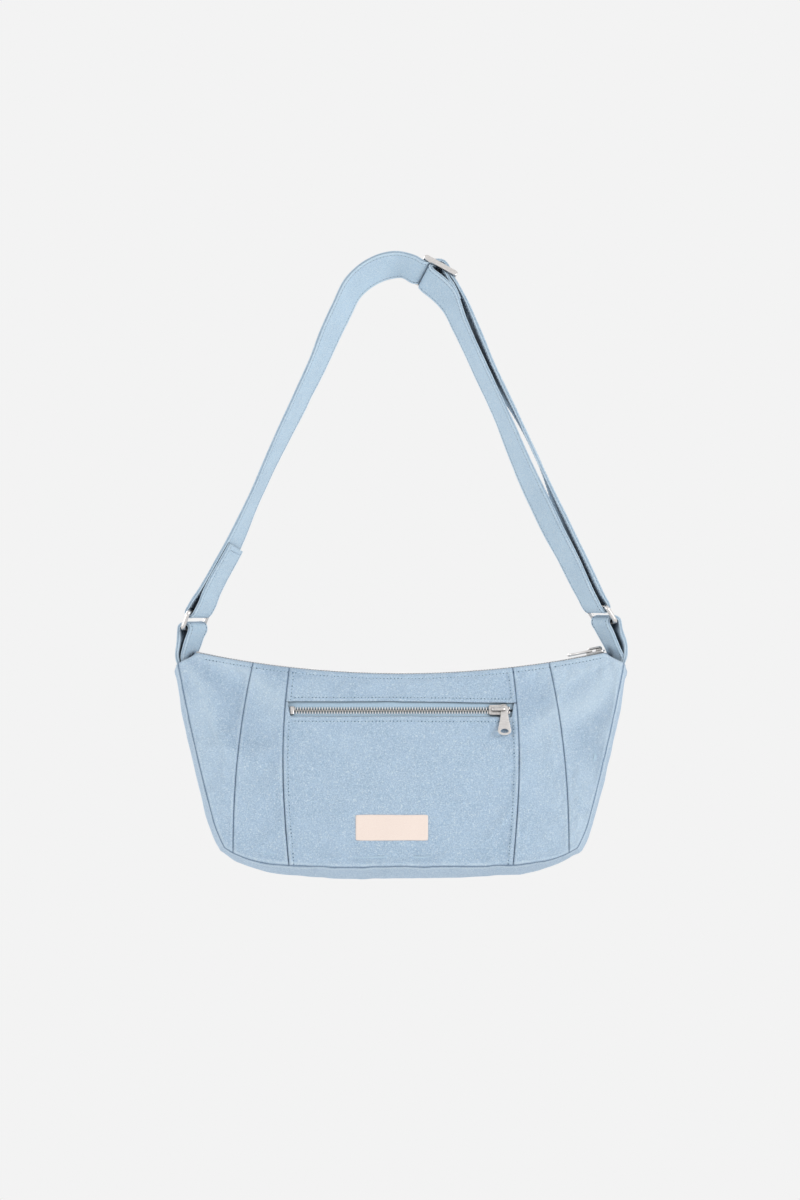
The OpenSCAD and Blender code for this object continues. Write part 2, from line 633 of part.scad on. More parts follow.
// Right side: the outer run down to the ring, the loop round its bar and the inner run back up
right_lean = 28;
leg = 10;
leg_gap = 0.3;
function run_end(sign) =
    [upper_bar_x(1) + bar_half_x + sign * (wire_r + fit + strap_t / 2) * cos(right_lean)
            - leg * sin(right_lean),
        upper_bar_z(1) + sign * (wire_r + fit + strap_t / 2) * sin(right_lean)
            + leg * cos(right_lean), -2 * bar_half_x, 0, 0];
outer_middle = [share(40.7, -25.3, -11.5, -6), share(50.8, -36.9, -12.5, -6),
    share(61, -48.7, -13, -6), share(70.6, -62.4, -13.5, -5.5), share(81.8, -75.8, -14, -4)];
outer_stations = concat([buckle_station(bar_pitch, -under_bar), share(28, -8.6, -9, -9)],
    outer_middle, [run_end(1)]);
end_loop_r = bar_r + fit + strap_t;
function inward(p) =
    [p[0] - run_gap * cos(right_lean), p[1] - run_gap * sin(right_lean), p[2], p[3], p[4]];
inner_stations = concat(
    [buckle_station(2, -end_loop_r - strap_t / 2 - clear), buckle_station(16, -under_bar - 4.5)],
    [share(28.6, -14.6, -10, -8)], [for (p = outer_middle) inward(p)], [run_end(-1)]);
module strap_outer_run() { band(outer_stations, strap_t, 3); }
module strap_inner_run() { band(inner_stations, strap_t, 4); }
module strap_right_loop() {
    color(strap_blue) across_bar(1) rotate(right_lean + 2) {
        difference() {
            bar_loop();
            translate([-10, 0]) square([20, 10]);
        }
        for (x = [-loop_r, wire_r + fit]) translate([x, 0]) square([strap_t, leg - leg_gap]);
    }
}
module strap_end_loop() {
    color(strap_blue) on_buckle() rotate([90, 0, 0]) linear_extrude(strap_w, center = true)
        difference() {
            circle(r = end_loop_r);
            circle(r = bar_r + fit);
        }
}

strap_left_loop();
strap_left_fold();
strap_main_run();
strap_outer_run();
strap_right_loop();
strap_inner_run();
strap_end_loop();
slide_buckle();
left_tab();
right_tab();
left_ring();
right_ring();
front_side_left();
front_inner_left();
front_top_strip();
front_pocket_panel();
front_inner_right();
front_side_right();
back_side_left();
back_centre();
back_side_right();
gusset_left();
gusset_base();
gusset_right();
front_seam_binding();
back_seam_binding();
main_tape_front();
main_tape_back();
main_teeth_front();
main_teeth_back();
main_zip_stops();
main_slider();
main_pull();
pocket_tape_upper();
pocket_tape_lower();
pocket_teeth_upper();
pocket_teeth_lower();
pocket_zip_stops();
pocket_slider();
pocket_pull();
pocket_pouch();
label();
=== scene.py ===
import logging
import math
from dataclasses import dataclass
from enum import Enum

import bmesh
import bpy
import numpy as np
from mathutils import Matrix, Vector


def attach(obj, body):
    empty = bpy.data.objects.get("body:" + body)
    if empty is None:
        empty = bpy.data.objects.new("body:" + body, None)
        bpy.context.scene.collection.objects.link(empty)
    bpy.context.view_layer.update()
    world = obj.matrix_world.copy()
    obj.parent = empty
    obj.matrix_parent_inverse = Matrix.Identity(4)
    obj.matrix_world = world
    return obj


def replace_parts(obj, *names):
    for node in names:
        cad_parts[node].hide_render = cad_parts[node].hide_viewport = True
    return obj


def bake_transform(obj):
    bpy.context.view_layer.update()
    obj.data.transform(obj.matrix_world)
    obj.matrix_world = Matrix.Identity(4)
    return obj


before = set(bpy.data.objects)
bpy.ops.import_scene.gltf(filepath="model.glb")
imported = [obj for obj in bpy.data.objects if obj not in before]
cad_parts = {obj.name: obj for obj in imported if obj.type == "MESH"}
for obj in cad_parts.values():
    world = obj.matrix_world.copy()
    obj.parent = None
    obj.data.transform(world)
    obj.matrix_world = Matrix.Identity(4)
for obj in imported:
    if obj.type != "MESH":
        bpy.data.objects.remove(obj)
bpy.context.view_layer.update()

log = logging.getLogger("trapeze_bag")

MM = 0.001
Array = np.ndarray
Piece = bpy.types.Object
Tree = bpy.types.NodeTree
Socket = bpy.types.NodeSocket
# A mesh's points and the vertex numbers of its faces
Mesh = tuple[Array, list]
# A place on a band's centre line and the band's way across there
Station = tuple[Array, Array]


# ---- Colour, nodes and finishes


def linear(hex_code: str) -> tuple[float, float, float, float]:
    """Turns an sRGB hex colour into linear RGBA.

    Args:
        hex_code: colour such as "#aec8e0".

    Returns:
        Linear red, green, blue and an alpha of one.
    """
    parts = [int(hex_code[i:i + 2], 16) / 255 for i in (1, 3, 5)]
    channels = [c / 12.92 if c <= 0.04045 else ((c + 0.055) / 1.055) ** 2.4 for c in parts]
    return (channels[0], channels[1], channels[2], 1.0)


def per_metre(size_mm: float) -> float:
    """Gives the texture scale whose pattern repeats about every size_mm.

    Args:
        size_mm: real size of one repeat in millimetres.

    Returns:
        The scale for coordinates in metres.
    """
    return 1.0 / (size_mm * MM)


def add_node(tree: Tree, kind: str, settings: dict[str | int, object] | None = None,
             links: dict[str | int, Socket] | None = None) -> bpy.types.Node:
    """Adds one node with its settings and its incoming links.

    Args:
        tree: node tree that gets the node.
        kind: the node's type name.
        settings: values by socket name or number, or by property name.
        links: source sockets by the name or number of the socket they feed.

    Returns:
        The new node.
    """
    node = tree.nodes.new(kind)
    for key, value in (settings or {}).items():
        if isinstance(key, int) or key in node.inputs:
            node.inputs[key].default_value = value
        else:
            setattr(node, key, value)
    for key, socket in (links or {}).items():
        tree.links.new(socket, node.inputs[key])
    return node


def new_material(name: str) -> tuple[bpy.types.Material, Tree, bpy.types.Node]:
    """Makes an empty material with its output node.

    Args:
        name: the material's name.

    Returns:
        The material, its node tree and its output node.
    """
    material = bpy.data.materials.new(name)
    material.use_nodes = True
    tree = material.node_tree
    tree.nodes.clear()
    return material, tree, add_node(tree, "ShaderNodeOutputMaterial")


def add_noise(tree: Tree, place: Socket, size_mm: float, detail: float,
              roughness: float = 0.5) -> Socket:
    """Adds smooth noise.

    Args:
        tree: node tree that gets the node.
        place: the coordinates in metres.
        size_mm: size of the noise's patches in millimetres.
        detail: number of finer layers.
        roughness: strength of the finer layers.

    Returns:
        The noise, from 0 to 1.
    """
    return add_node(tree, "ShaderNodeTexNoise", {"Scale": per_metre(size_mm), "Detail": detail,
                    "Roughness": roughness}, {"Vector": place}).outputs["Fac"]


def add_range(tree: Tree, value: Socket, low: float, high: float,
              to_low: float = 0.0, to_high: float = 1.0) -> Socket:
    """Adds a ramp that follows a value between two limits.

    Args:
        tree: node tree that gets the node.
        value: the value.
        low: where the ramp starts.
        high: where it ends.
        to_low: what it gives up to its start.
        to_high: what it gives from its end on.

    Returns:
        The ramp's value.
    """
    return add_node(tree, "ShaderNodeMapRange", {"From Min": low, "From Max": high, "To Min": to_low,
                    "To Max": to_high}, {"Value": value}).outputs["Result"]


def add_math(tree: Tree, operation: str,
             *terms: Socket | float) -> Socket:
    """Adds a sum, a product or another operation.

    Args:
        tree: node tree that gets the node.
        operation: the operation's name.
        terms: what it works on, sockets or numbers.

    Returns:
        The result.
    """
    numbers = {i: term for i, term in enumerate(terms) if isinstance(term, float)}
    sockets = {i: term for i, term in enumerate(terms) if i not in numbers}
    return add_node(tree, "ShaderNodeMath", {"operation": operation} | numbers, sockets).outputs[0]


def add_mix(tree: Tree, share: Socket, under: Socket | str,
            over: str) -> Socket:
    """Lays one colour over another.

    Args:
        tree: node tree that gets the node.
        share: how much of the upper colour shows.
        under: the lower colour, a socket or a hex colour.
        over: the upper colour, a hex colour.

    Returns:
        The mixed colour.
    """
    settings, links = {"data_type": "RGBA", 7: linear(over)}, {0: share}
    if isinstance(under, str):
        settings[6] = linear(under)
    else:
        links[6] = under
    return add_node(tree, "ShaderNodeMix", settings, links).outputs[2]


def add_open_air(tree: Tree, reach_mm: float) -> Socket:
    """Adds a measure that falls from 1 in the open towards 0 where surfaces stand close together."""
    return add_node(tree, "ShaderNodeAmbientOcclusion", {"Distance": reach_mm * MM, "samples": 8}).outputs["AO"]


@dataclass(frozen=True)
class WashedCanvas:
    """Cotton canvas, woven and garment washed: matte, with soft cloudy fading, pale seam ridges that are partly
    worn and partly painted highlight, and painted shade in grooves and between layers.
    """

    name: str
    mid: str
    light: str
    shade: str
    # Painted shade in seam grooves, crease troughs and the strap's edge grooves
    seam: str = "#48678a"
    fleck: str = "#dbe8f1"
    # Pale colour of the ridges: worn along the seams and edges, and painted highlight on crease crests and the
    # bag's sides
    paling_from_wear_and_light: str = "#d2e3ef"
    # Painted shade between layers of cloth, where surfaces stand close together
    deep: str = "#22405e"
    cloud_mm: float = 34.0
    # Threads lie 0.6 mm apart; the weave is drawn at 1.5 mm, which is as fine as the picture shows
    weave_mm: float = 1.5
    slub_mm: float = 1.9
    fleck_mm: float = 1.1
    fuzz_mm: float = 1.6
    gap_shade_mm: float = 9.0

    def material(self) -> bpy.types.Material:
        """Builds the cloth's material.

        Returns:
            The finished material.
        """
        material, tree, output = new_material(self.name)
        place = add_node(tree, "ShaderNodeTexCoord").outputs["Object"]
        cloud = add_range(tree, add_noise(tree, place, self.cloud_mm, 3.0, 0.55), 0.36, 0.64)
        tint = add_mix(tree, cloud, self.shade, self.mid)
        # Slubs: short thick stretches of thread, along the weft and along the warp
        grains = []
        for stretch in ((1.0, 1.0, 3.2), (3.2, 3.2, 1.0)):
            scaled = add_node(tree, "ShaderNodeMapping", {"Scale": stretch}, {"Vector": place}).outputs[0]
            grains.append(add_noise(tree, scaled, self.slub_mm, 4.0, 0.75))
        grain = add_range(tree, add_math(tree, "ADD", *grains), 0.86, 1.14)
        tint = add_mix(tree, add_math(tree, "MULTIPLY", grain, 0.95), tint, self.light)
        # Flecks: single pale threads that washing has brought up
        fleck = add_range(tree, add_noise(tree, place, self.fleck_mm, 2.0, 0.6), 0.53, 0.68, 0.0, 0.85)
        # Painted shade: a deep blue where surfaces stand close together, as between layers of cloth
        gap_shade = add_range(tree, add_open_air(tree, self.gap_shade_mm), 0.16, 0.64, 0.92, 0.0)
        # Marks on the mesh: pale ridges, partly worn and partly painted highlight, and painted shade in grooves
        # and troughs
        wear_and_highlight, groove_shade = (add_node(tree, "ShaderNodeAttribute", {"attribute_name": name}).outputs["Fac"]
                         for name in ("wear_and_highlight", "groove_shade"))
        layers = ((fleck, self.fleck), (wear_and_highlight, self.paling_from_wear_and_light), (groove_shade, self.seam), (gap_shade, self.deep))
        for share, colour in layers:
            tint = add_mix(tree, share, tint, colour)
        # Plain weave: warp and weft waves that cross
        waves = [add_node(tree, "ShaderNodeTexWave", {"bands_direction": way, "Distortion": 1.5,
                 "Scale": per_metre(self.weave_mm) / 20, "Detail": 1.0, "Detail Scale": 3.0},
                 {"Vector": place}).outputs["Fac"] for way in ("X", "Z")]
        weave = add_math(tree, "MULTIPLY", *waves)
        height = add_math(tree, "MULTIPLY_ADD", weave, 0.5, add_noise(tree, place, self.fuzz_mm, 3.0))
        height = add_math(tree, "MULTIPLY_ADD", grain, 0.8, height)
        bump = add_node(tree, "ShaderNodeBump", {"Strength": 0.8, "Distance": 0.5 * MM}, {"Height": height})
        shader = add_node(tree, "ShaderNodeBsdfPrincipled", {"Roughness": 0.93, "Sheen Weight": 0.22,
                          "Sheen Roughness": 0.45, "Specular IOR Level": 0.18},
                          {"Base Color": tint, "Normal": bump.outputs[0]})
        tree.links.new(shader.outputs[0], output.inputs["Surface"])
        return material


@dataclass(frozen=True)
class PlainFinish:
    """A fine even finish: a base colour, a paler fleck and a relief of one grain size."""

    name: str
    base: str
    fleck: str
    grain_mm: float
    stretch: tuple[float, float, float] = (1.0, 1.0, 1.0)
    roughness: float = 0.8
    metallic: float = 0.0
    sheen: float = 0.0
    relief: float = 0.3
    # Painted shade: how much the colour darkens where surfaces stand close together, and within what distance
    crevice_shade: float = 0.0
    crevice_shade_mm: float = 2.5

    def material(self) -> bpy.types.Material:
        """Builds the finish's material.

        Returns:
            The finished material.
        """
        material, tree, output = new_material(self.name)
        place = add_node(tree, "ShaderNodeTexCoord").outputs["Object"]
        scaled = add_node(tree, "ShaderNodeMapping", {"Scale": self.stretch}, {"Vector": place}).outputs[0]
        grain = add_noise(tree, scaled, self.grain_mm, 4.0)
        tint = add_mix(tree, add_range(tree, grain, 0.3, 0.7), self.base, self.fleck)
        if self.crevice_shade:
            # Painted shade: the colour darkens where the surfaces stand close together
            dark = add_range(tree, add_open_air(tree, self.crevice_shade_mm), 0.25, 0.9, 1.0 - self.crevice_shade)
            tint = add_node(tree, "ShaderNodeVectorMath", {"operation": "SCALE"},
                            {0: tint, "Scale": dark}).outputs[0]
        gloss = add_range(tree, grain, 0.0, 1.0, self.roughness * 0.85, min(1.0, self.roughness * 1.15))
        bump = add_node(tree, "ShaderNodeBump", {"Strength": self.relief, "Distance": 0.3 * MM},
                        {"Height": grain})
        shader = add_node(tree, "ShaderNodeBsdfPrincipled", {"Metallic": self.metallic,
                          "Sheen Weight": self.sheen}, {"Base Color": tint, "Roughness": gloss,
                          "Normal": bump.outputs[0]})
        tree.links.new(shader.outputs[0], output.inputs["Surface"])
        return material


class Finish(Enum):
    """The finishes on the bag."""

    # Panels and gusset: washed blue canvas
    CANVAS = WashedCanvas("washed_canvas", "#a1bbd4", "#bfd5e9", "#97b2cb")
    # Strap and tabs: the same canvas on a narrower, more faded fold
    STRAP = WashedCanvas("washed_strap", "#b2cee3", "#c9dff0", "#a7c3d9", cloud_mm=26.0)
    # Zip tapes and bindings: herringbone polyester tape dyed to match, with a faint sheen and painted shade
    # where surfaces stand close together
    TAPE = PlainFinish("zip_tape", "#9fb7ca", "#aec5d6", 1.2, (1.0, 1.0, 2.0), 0.75, sheen=0.2,
                       crevice_shade=0.95, crevice_shade_mm=2.6)
    # Pouch: thin cotton lining cloth
    POUCH = PlainFinish("pouch_cotton", "#a4bacc", "#b3c8d8", 1.5, roughness=0.9)
    # Thread: twisted polyester, a shade lighter than the cloth
    THREAD = PlainFinish("sewing_thread", "#a6bdcf", "#bdd1e0", 0.8, roughness=0.6, sheen=0.3)
    # Needle holes: painted shade, small dark dimples where the thread goes into the cloth
    HOLE_SHADE = PlainFinish("needle_holes", "#4c6a85", "#587590", 0.6, roughness=1.0)
    # Label: pale pink satin ribbon, woven with long floats that give it a soft gloss
    SATIN = PlainFinish("satin_ribbon", "#e1cfc5", "#ebddd3", 0.9, (1.0, 1.0, 6.0), 0.5, sheen=0.2)
    # Rings, buckle, stops and pulls: cast zinc, nickel plated and tumbled to a satin, with painted shade where
    # surfaces stand close together
    NICKEL = PlainFinish("satin_nickel", "#d2cecb", "#e6e3e1", 3.0, (1.0, 1.0, 4.0), 0.3, 1.0, relief=0.05,
                         crevice_shade=0.85)
    # Sliders: the same casting, barrel finished and duller, with painted shade in its recesses
    CASTING = PlainFinish("slider_casting", "#c2bebb", "#e0dddb", 1.6, roughness=0.34, metallic=1.0,
                          relief=0.1, crevice_shade=0.96, crevice_shade_mm=2.6)
    # Zip teeth: drawn nickel silver, sharper and brighter, with painted shade in the gaps between them
    TEETH = PlainFinish("zip_teeth_metal", "#ebe8e6", "#f9f7f6", 0.7, roughness=0.3, metallic=1.0,
                        crevice_shade=0.9, crevice_shade_mm=1.1)

    @property
    def made(self) -> bpy.types.Material:
        """The finish's material, built once."""
        return bpy.data.materials.get(self.value.name) or self.value.material()


# ---- Meshes


def soft_noise(x: Array, z: Array, size: float, seed: int) -> Array:
    """Gives smooth seeded noise over a plane.

    Args:
        x: first coordinate in mm.
        z: second coordinate in mm.
        size: distance between the noise's lattice points in mm.
        seed: picks the pattern.

    Returns:
        Values from about -1 to 1, in the shape of x.
    """
    lattice = np.random.default_rng(seed).uniform(-1.0, 1.0, (64, 64))
    a, b = np.asarray(x) / size + 31.7, np.asarray(z) / size + 31.3
    i, j = np.floor(a).astype(int), np.floor(b).astype(int)
    s, t = a - i, b - j
    s, t = s * s * (3 - 2 * s), t * t * (3 - 2 * t)
    low = lattice[i % 64, j % 64] * (1 - s) + lattice[(i + 1) % 64, j % 64] * s
    high = lattice[i % 64, (j + 1) % 64] * (1 - s) + lattice[(i + 1) % 64, (j + 1) % 64] * s
    return low * (1 - t) + high * t


def soft_line(x: Array, size: float, seed: int) -> Array:
    """Gives smooth seeded noise along a line."""
    return soft_noise(x, x * 0, size, seed)


def bell(distance: Array, width: float) -> Array:
    """Gives 1 at no distance, falling smoothly to 0 past about twice the width."""
    return np.exp(-(np.asarray(distance) / width) ** 2)


def spaced(count: int, fine: float = 0.0) -> Array:
    """Gives steps from 0 to 1, closer together near both ends.

    Args:
        count: number of values.
        fine: 0 for even steps, towards 1 for steps that crowd at the ends.

    Returns:
        The steps.
    """
    even = np.linspace(0.0, 1.0, count)
    return even * (1 - fine) + fine * (1 - np.cos(math.pi * even)) / 2


def add_object(name: str, data: bpy.types.ID) -> Piece:
    """Adds an object to the scene, with its mesh, curve, lamp or lens."""
    made = bpy.data.objects.new(name, data)
    bpy.context.scene.collection.objects.link(made)
    return made


def make_piece(name: str, verts: Array, faces: Array | list, finish: Finish, body: str | None,
               slot: str, marks: dict[str, Array] | None = None, smooth: bool = True) -> Piece:
    """Makes one piece from a mesh in millimetres, with its finish, and lets it ride.

    Args:
        name: the piece's name.
        verts: points in mm, in the bag's frame.
        faces: vertex numbers of each face.
        finish: what it is made of.
        body: the body it rides on, or None.
        slot: not used.
        marks: per-vertex values for the material.
        smooth: whether its shading is smooth.

    Returns:
        The new object.
    """
    mesh = bpy.data.meshes.new(name)
    mesh.from_pydata((np.asarray(verts, float) * MM).tolist(), [],
                     faces if isinstance(faces, list) else faces.tolist())
    work = bmesh.new()
    work.from_mesh(mesh)
    bmesh.ops.recalc_face_normals(work, faces=work.faces)
    work.to_mesh(mesh)
    work.free()
    if smooth:
        mesh.shade_smooth()
    for key, values in (marks or {}).items():
        layer = mesh.attributes.new(key, "FLOAT", "POINT")
        layer.data.foreach_set("value", np.asarray(values, np.float32).ravel())
    piece = add_object(name, mesh)
    mesh.materials.append(finish.made)
    if body:
        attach(piece, body)
    return piece


def grid_faces(grid: Array) -> Array:
    """Gives the four corners of each cell in a grid of vertex numbers."""
    return np.stack([grid[:-1, :-1], grid[:-1, 1:], grid[1:, 1:], grid[1:, :-1]], -1).reshape(-1, 4)


def make_sheet(name: str, outer: Array, inner: Array, finish: Finish, slot: str,
               marks: dict[str, Array] | None = None) -> Piece:
    """Makes a closed sheet on the bag from a grid of points on each of its faces.

    Args:
        name: the piece's name.
        outer: points of the outer face in mm, (rows, columns, 3).
        inner: points of the inner face, in the same order.
        finish: what it is made of.
        slot: passed on to make_piece, which does not use it.
        marks: values for the material, one for each point of a face.

    Returns:
        The new object.
    """
    count = outer.shape[0] * outer.shape[1]
    grid = np.arange(count).reshape(outer.shape[:2])
    rims = (grid[0], grid[-1], grid[:, 0], grid[:, -1])
    faces = [grid_faces(part) for part in (grid, grid + count, *(np.stack([rim, rim + count]) for rim in rims))]
    both = {key: np.tile(values.ravel(), 2) for key, values in (marks or {}).items()}
    return make_piece(name, np.stack([outer, inner]).reshape(-1, 3), np.concatenate(faces), finish,
                      "bag_body", slot, both)


def tube_faces(rings: int, around: int) -> list:
    """Gives the faces of a tube of point rings with flat ends.

    Args:
        rings: number of rings.
        around: points in each ring.

    Returns:
        Vertex numbers of each face.
    """
    grid = np.arange(rings * around).reshape(rings, around)
    turned = np.roll(grid, -1, axis=1)
    quads = np.stack([grid[:-1], turned[:-1], turned[1:], grid[1:]], -1).reshape(-1, 4).tolist()
    return quads + [grid[0, ::-1].tolist(), grid[-1].tolist()]


def stamp(shape: Array, faces: list, places: Array, axes: Array) -> Mesh:
    """Repeats one small mesh at many places.

    Args:
        shape: the small mesh's points, (m, 3).
        faces: its faces.
        places: origins, (n, 3).
        axes: its x, y and z axes at each place, (n, 3, 3), one axis a row.

    Returns:
        All points and all faces.
    """
    verts = places[:, None, :] + np.einsum("mk,nkc->nmc", shape, axes)
    step = len(shape)
    return verts.reshape(-1, 3), [[v + step * i for v in face] for i in range(len(places)) for face in faces]


def unit(vectors: Array) -> Array:
    """Scales each vector to length one."""
    return vectors / np.maximum(np.linalg.norm(vectors, axis=-1, keepdims=True), 1e-9)


def resample(path: Array, step: float) -> Array:
    """Walks along a line of points.

    Args:
        path: the line, (n, 3).
        step: distance between the walk's points.

    Returns:
        Points at even distances, starting half a step in.
    """
    lengths = np.concatenate([[0.0], np.cumsum(np.linalg.norm(np.diff(path, axis=0), axis=1))])
    at = np.arange(step / 2, lengths[-1], step)
    return np.stack([np.interp(at, lengths, path[:, k]) for k in range(path.shape[1])], -1)


@dataclass
class Stitching:
    """Collects lockstitch rows, and makes them into thread and the needle holes' painted shade for one body."""

    name: str
    body: str | None
    slot: str = "canvas"
    pitch: float = 3.1
    thread: float = 0.7

    def __post_init__(self) -> None:
        """Starts with no rows."""
        self.places: list[Array] = []
        self.axes: list[Array] = []

    def row(self, path: Array, normals: Array) -> None:
        """Adds a row of stitches along a line on the cloth.

        Args:
            path: points on the cloth's face.
            normals: the way out of the cloth at each point.
        """
        walked = resample(np.concatenate([path, normals], axis=1), self.pitch)
        points, out = walked[:, :3], unit(walked[:, 3:])
        along = unit(np.gradient(points, axis=0))
        across = unit(np.cross(out, along))
        self.places.append(points)
        self.axes.append(np.stack([along, across, np.cross(along, across)], 1))

    def make(self) -> list[Piece]:
        """Makes the thread and the needle holes' painted shade.

        Returns:
            The two pieces.
        """
        places, axes = np.concatenate(self.places), np.concatenate(self.axes)
        turn = np.arange(6) * math.pi / 3
        half = self.pitch * 0.36
        rings = [(-half, 0.45, -0.42), (-half * 0.75, 0.9, 0.0), (0.0, 1.0, 0.12),
                 (half * 0.75, 0.9, 0.0), (half, 0.45, -0.42)]
        shape = np.array([[x, np.cos(a) * self.thread / 2 * r, np.sin(a) * self.thread / 2 * r + 0.1 + h]
                          for x, r, h in rings for a in turn])
        verts, faces = stamp(shape, tube_faces(len(rings), 6), places, axes)
        thread = make_piece(self.name + "_thread", verts, faces, Finish.THREAD, self.body, self.slot)
        # A hole lies between two stitches: its shade is painted as a small dark pit, drawn as a low lens
        disc = [[math.cos(a) * 0.72, math.sin(a) * 0.62, -0.05] for a in turn]
        lens = np.array(disc + [[0.0, 0.0, 0.26], [0.0, 0.0, -0.3]])
        lens_faces = [[i, (i + 1) % 6, 6] for i in range(6)] + [[(i + 1) % 6, i, 7] for i in range(6)]
        verts, faces = stamp(lens, lens_faces, places + axes[:, 0] * self.pitch / 2, axes)
        shade_pits = make_piece(self.name + "_holes", verts, faces, Finish.HOLE_SHADE, self.body, self.slot)
        return [thread, shade_pits]


# ---- The bag's shape, in mm


@dataclass(frozen=True)
class BagShape:
    """The bag's outline and the places of its seams, from the same sizes as the part."""

    half_w: float = 199.0
    mouth_end_z: float = -341.0
    mouth_sag: float = 18.5
    mouth_half_l: float = 177.9
    mouth_half: float = 15.0
    end_half: float = 24.0
    base_half: float = 48.0
    base_z: float = -529.0
    corner_drop: float = 9.0
    corner_rise: float = 19.0
    panel_bulge: float = 6.0
    gusset_bulge: float = 5.6
    base_sag: float = 11.5
    side_top_x: float = 196.0
    corner_x: float = 158.0
    # The teeth of the main zip stand a little above the panels' edges
    lip_drop: float = 1.2
    # The pocket's zip: its height, the cloth's place in y there, and how far its face leans back
    zip_z: float = -392.0
    zip_y: float = -26.506
    zip_lean: float = 16.89
    slot_half: float = 101.0
    # The seams' places at the mouth, beside the side panels and beside the pocket
    side_seam_x: float = 130.0
    pocket_seam_x: float = 98.0

    @property
    def mouth_r(self) -> float:
        """Radius of the mouth's arc."""
        return (self.mouth_half_l ** 2 + self.mouth_sag ** 2) / (2 * self.mouth_sag)

    @property
    def mouth_centre_z(self) -> float:
        """Height of the centre of the mouth's arc."""
        return self.mouth_end_z - self.mouth_sag + self.mouth_r

    def edge_z(self, x: Array) -> Array:
        """Height of the panels' top edge."""
        inside = np.minimum(np.abs(x), self.mouth_half_l)
        past = np.maximum(0, np.abs(x) - self.mouth_half_l) / (self.side_top_x - self.mouth_half_l)
        arc = self.mouth_centre_z - np.sqrt(self.mouth_r ** 2 - inside ** 2)
        return arc - self.corner_drop * past - self.lip_drop

    def base_seam_z(self, x: Array) -> Array:
        """Height of the base seam, slightly gathered and wavy."""
        x = np.minimum(np.abs(np.asarray(x, float)), self.corner_x - 3.4) * np.sign(x)
        reach = np.clip(1.15 - np.abs(x) / self.corner_x, 0, 0.4) / 0.4
        wave = soft_line(x, 26.0, 5) + 0.45 * soft_line(x, 9.0, 6)
        return self.base_z + self.corner_rise * (np.abs(x) / self.corner_x) ** 6.5 + wave * reach

    def side_x(self, v: Array) -> Array:
        """Half width at the side seams."""
        rounding = 3.4 * np.clip((v - 0.84) / 0.16, 0, 1) ** 2
        return self.side_top_x - (self.side_top_x - self.corner_x) * (0.79 * v + 0.21 * v * v) - rounding

    def seam_x(self, k: int, v: Array) -> Array:
        """Place of a seam, from 0 at the left side to 5 at the right side."""
        v = np.clip(v, 0, 1)
        beside = self.side_seam_x + 17 * (1 - (1 - v) ** 2.2)
        pocket = self.pocket_seam_x + 5.5 * np.sin(math.pi * v ** 0.9)
        place = (self.side_x(v), beside, pocket)[min(k, 5 - k)]
        return -place if k < 3 else place

    def side_gap(self, x: Array, z: Array) -> Array:
        """Distance in from the side seam."""
        top, low = self.edge_z(self.side_top_x), self.base_seam_z(self.corner_x)
        return np.maximum(0, self.side_x(np.clip((top - z) / (top - low), 0, 1)) - np.abs(x))

    def top_half(self, x: Array) -> Array:
        """Half depth at the top edge."""
        past = np.maximum(0, np.abs(x) / self.side_top_x - 0.5) * 2
        return self.mouth_half + (self.end_half - self.mouth_half) * past ** 1.6

    def half_depth(self, x: Array, v: Array) -> Array:
        """Half depth of the plain outside."""
        v = np.clip(v, 0, 1)
        low = self.base_half - 4 * (x / self.corner_x) ** 2
        swell = self.panel_bulge * np.sin(math.pi * v)
        return (self.top_half(x) + (low - self.top_half(x)) * v ** 0.85
                + swell * (1 - np.minimum(1, np.abs(x) / self.side_x(v)) ** 2))

    def lip_z(self, x: Array, upper: bool) -> Array:
        """Height of a lip of the pocket zip's slot.

        Past the zip's ends the lower lip closes up to the upper one.

        Args:
            x: places across in mm.
            upper: which lip.

        Returns:
            The lip's height in mm.
        """
        x = np.asarray(x, float)
        ease = np.clip((np.abs(x) - 95.8) / 3.6, 0, 1)
        ease = ease * ease * (3 - 2 * ease)
        drop = np.clip((x - 10) / 80, 0, 1)
        top = self.zip_z + 7.4 - 1.5 * drop + 0.25 * soft_line(x, 18, 91)
        low = self.zip_z - 5.8 - 0.6 * drop - 0.2 * soft_line(x, 22, 92)
        return top if upper else low + (top - low) * ease

    def row_v(self, x: Array, z: Array) -> Array:
        """Share of the way from the mouth down to the base seam."""
        top = self.edge_z(x)
        return (top - z) / (top - self.base_seam_z(x))

    def base_gap(self, x: Array, z: Array) -> Array:
        """Distance up from the base seam."""
        return (1 - self.row_v(x, z)) * (self.edge_z(x) - self.base_seam_z(x))

    def lip_gaps(self, x: Array, z: Array) -> tuple[Array, Array]:
        """Distances above the upper lip of the pocket zip's slot and below its lower lip."""
        return z - self.lip_z(x, True), self.lip_z(x, False) - z


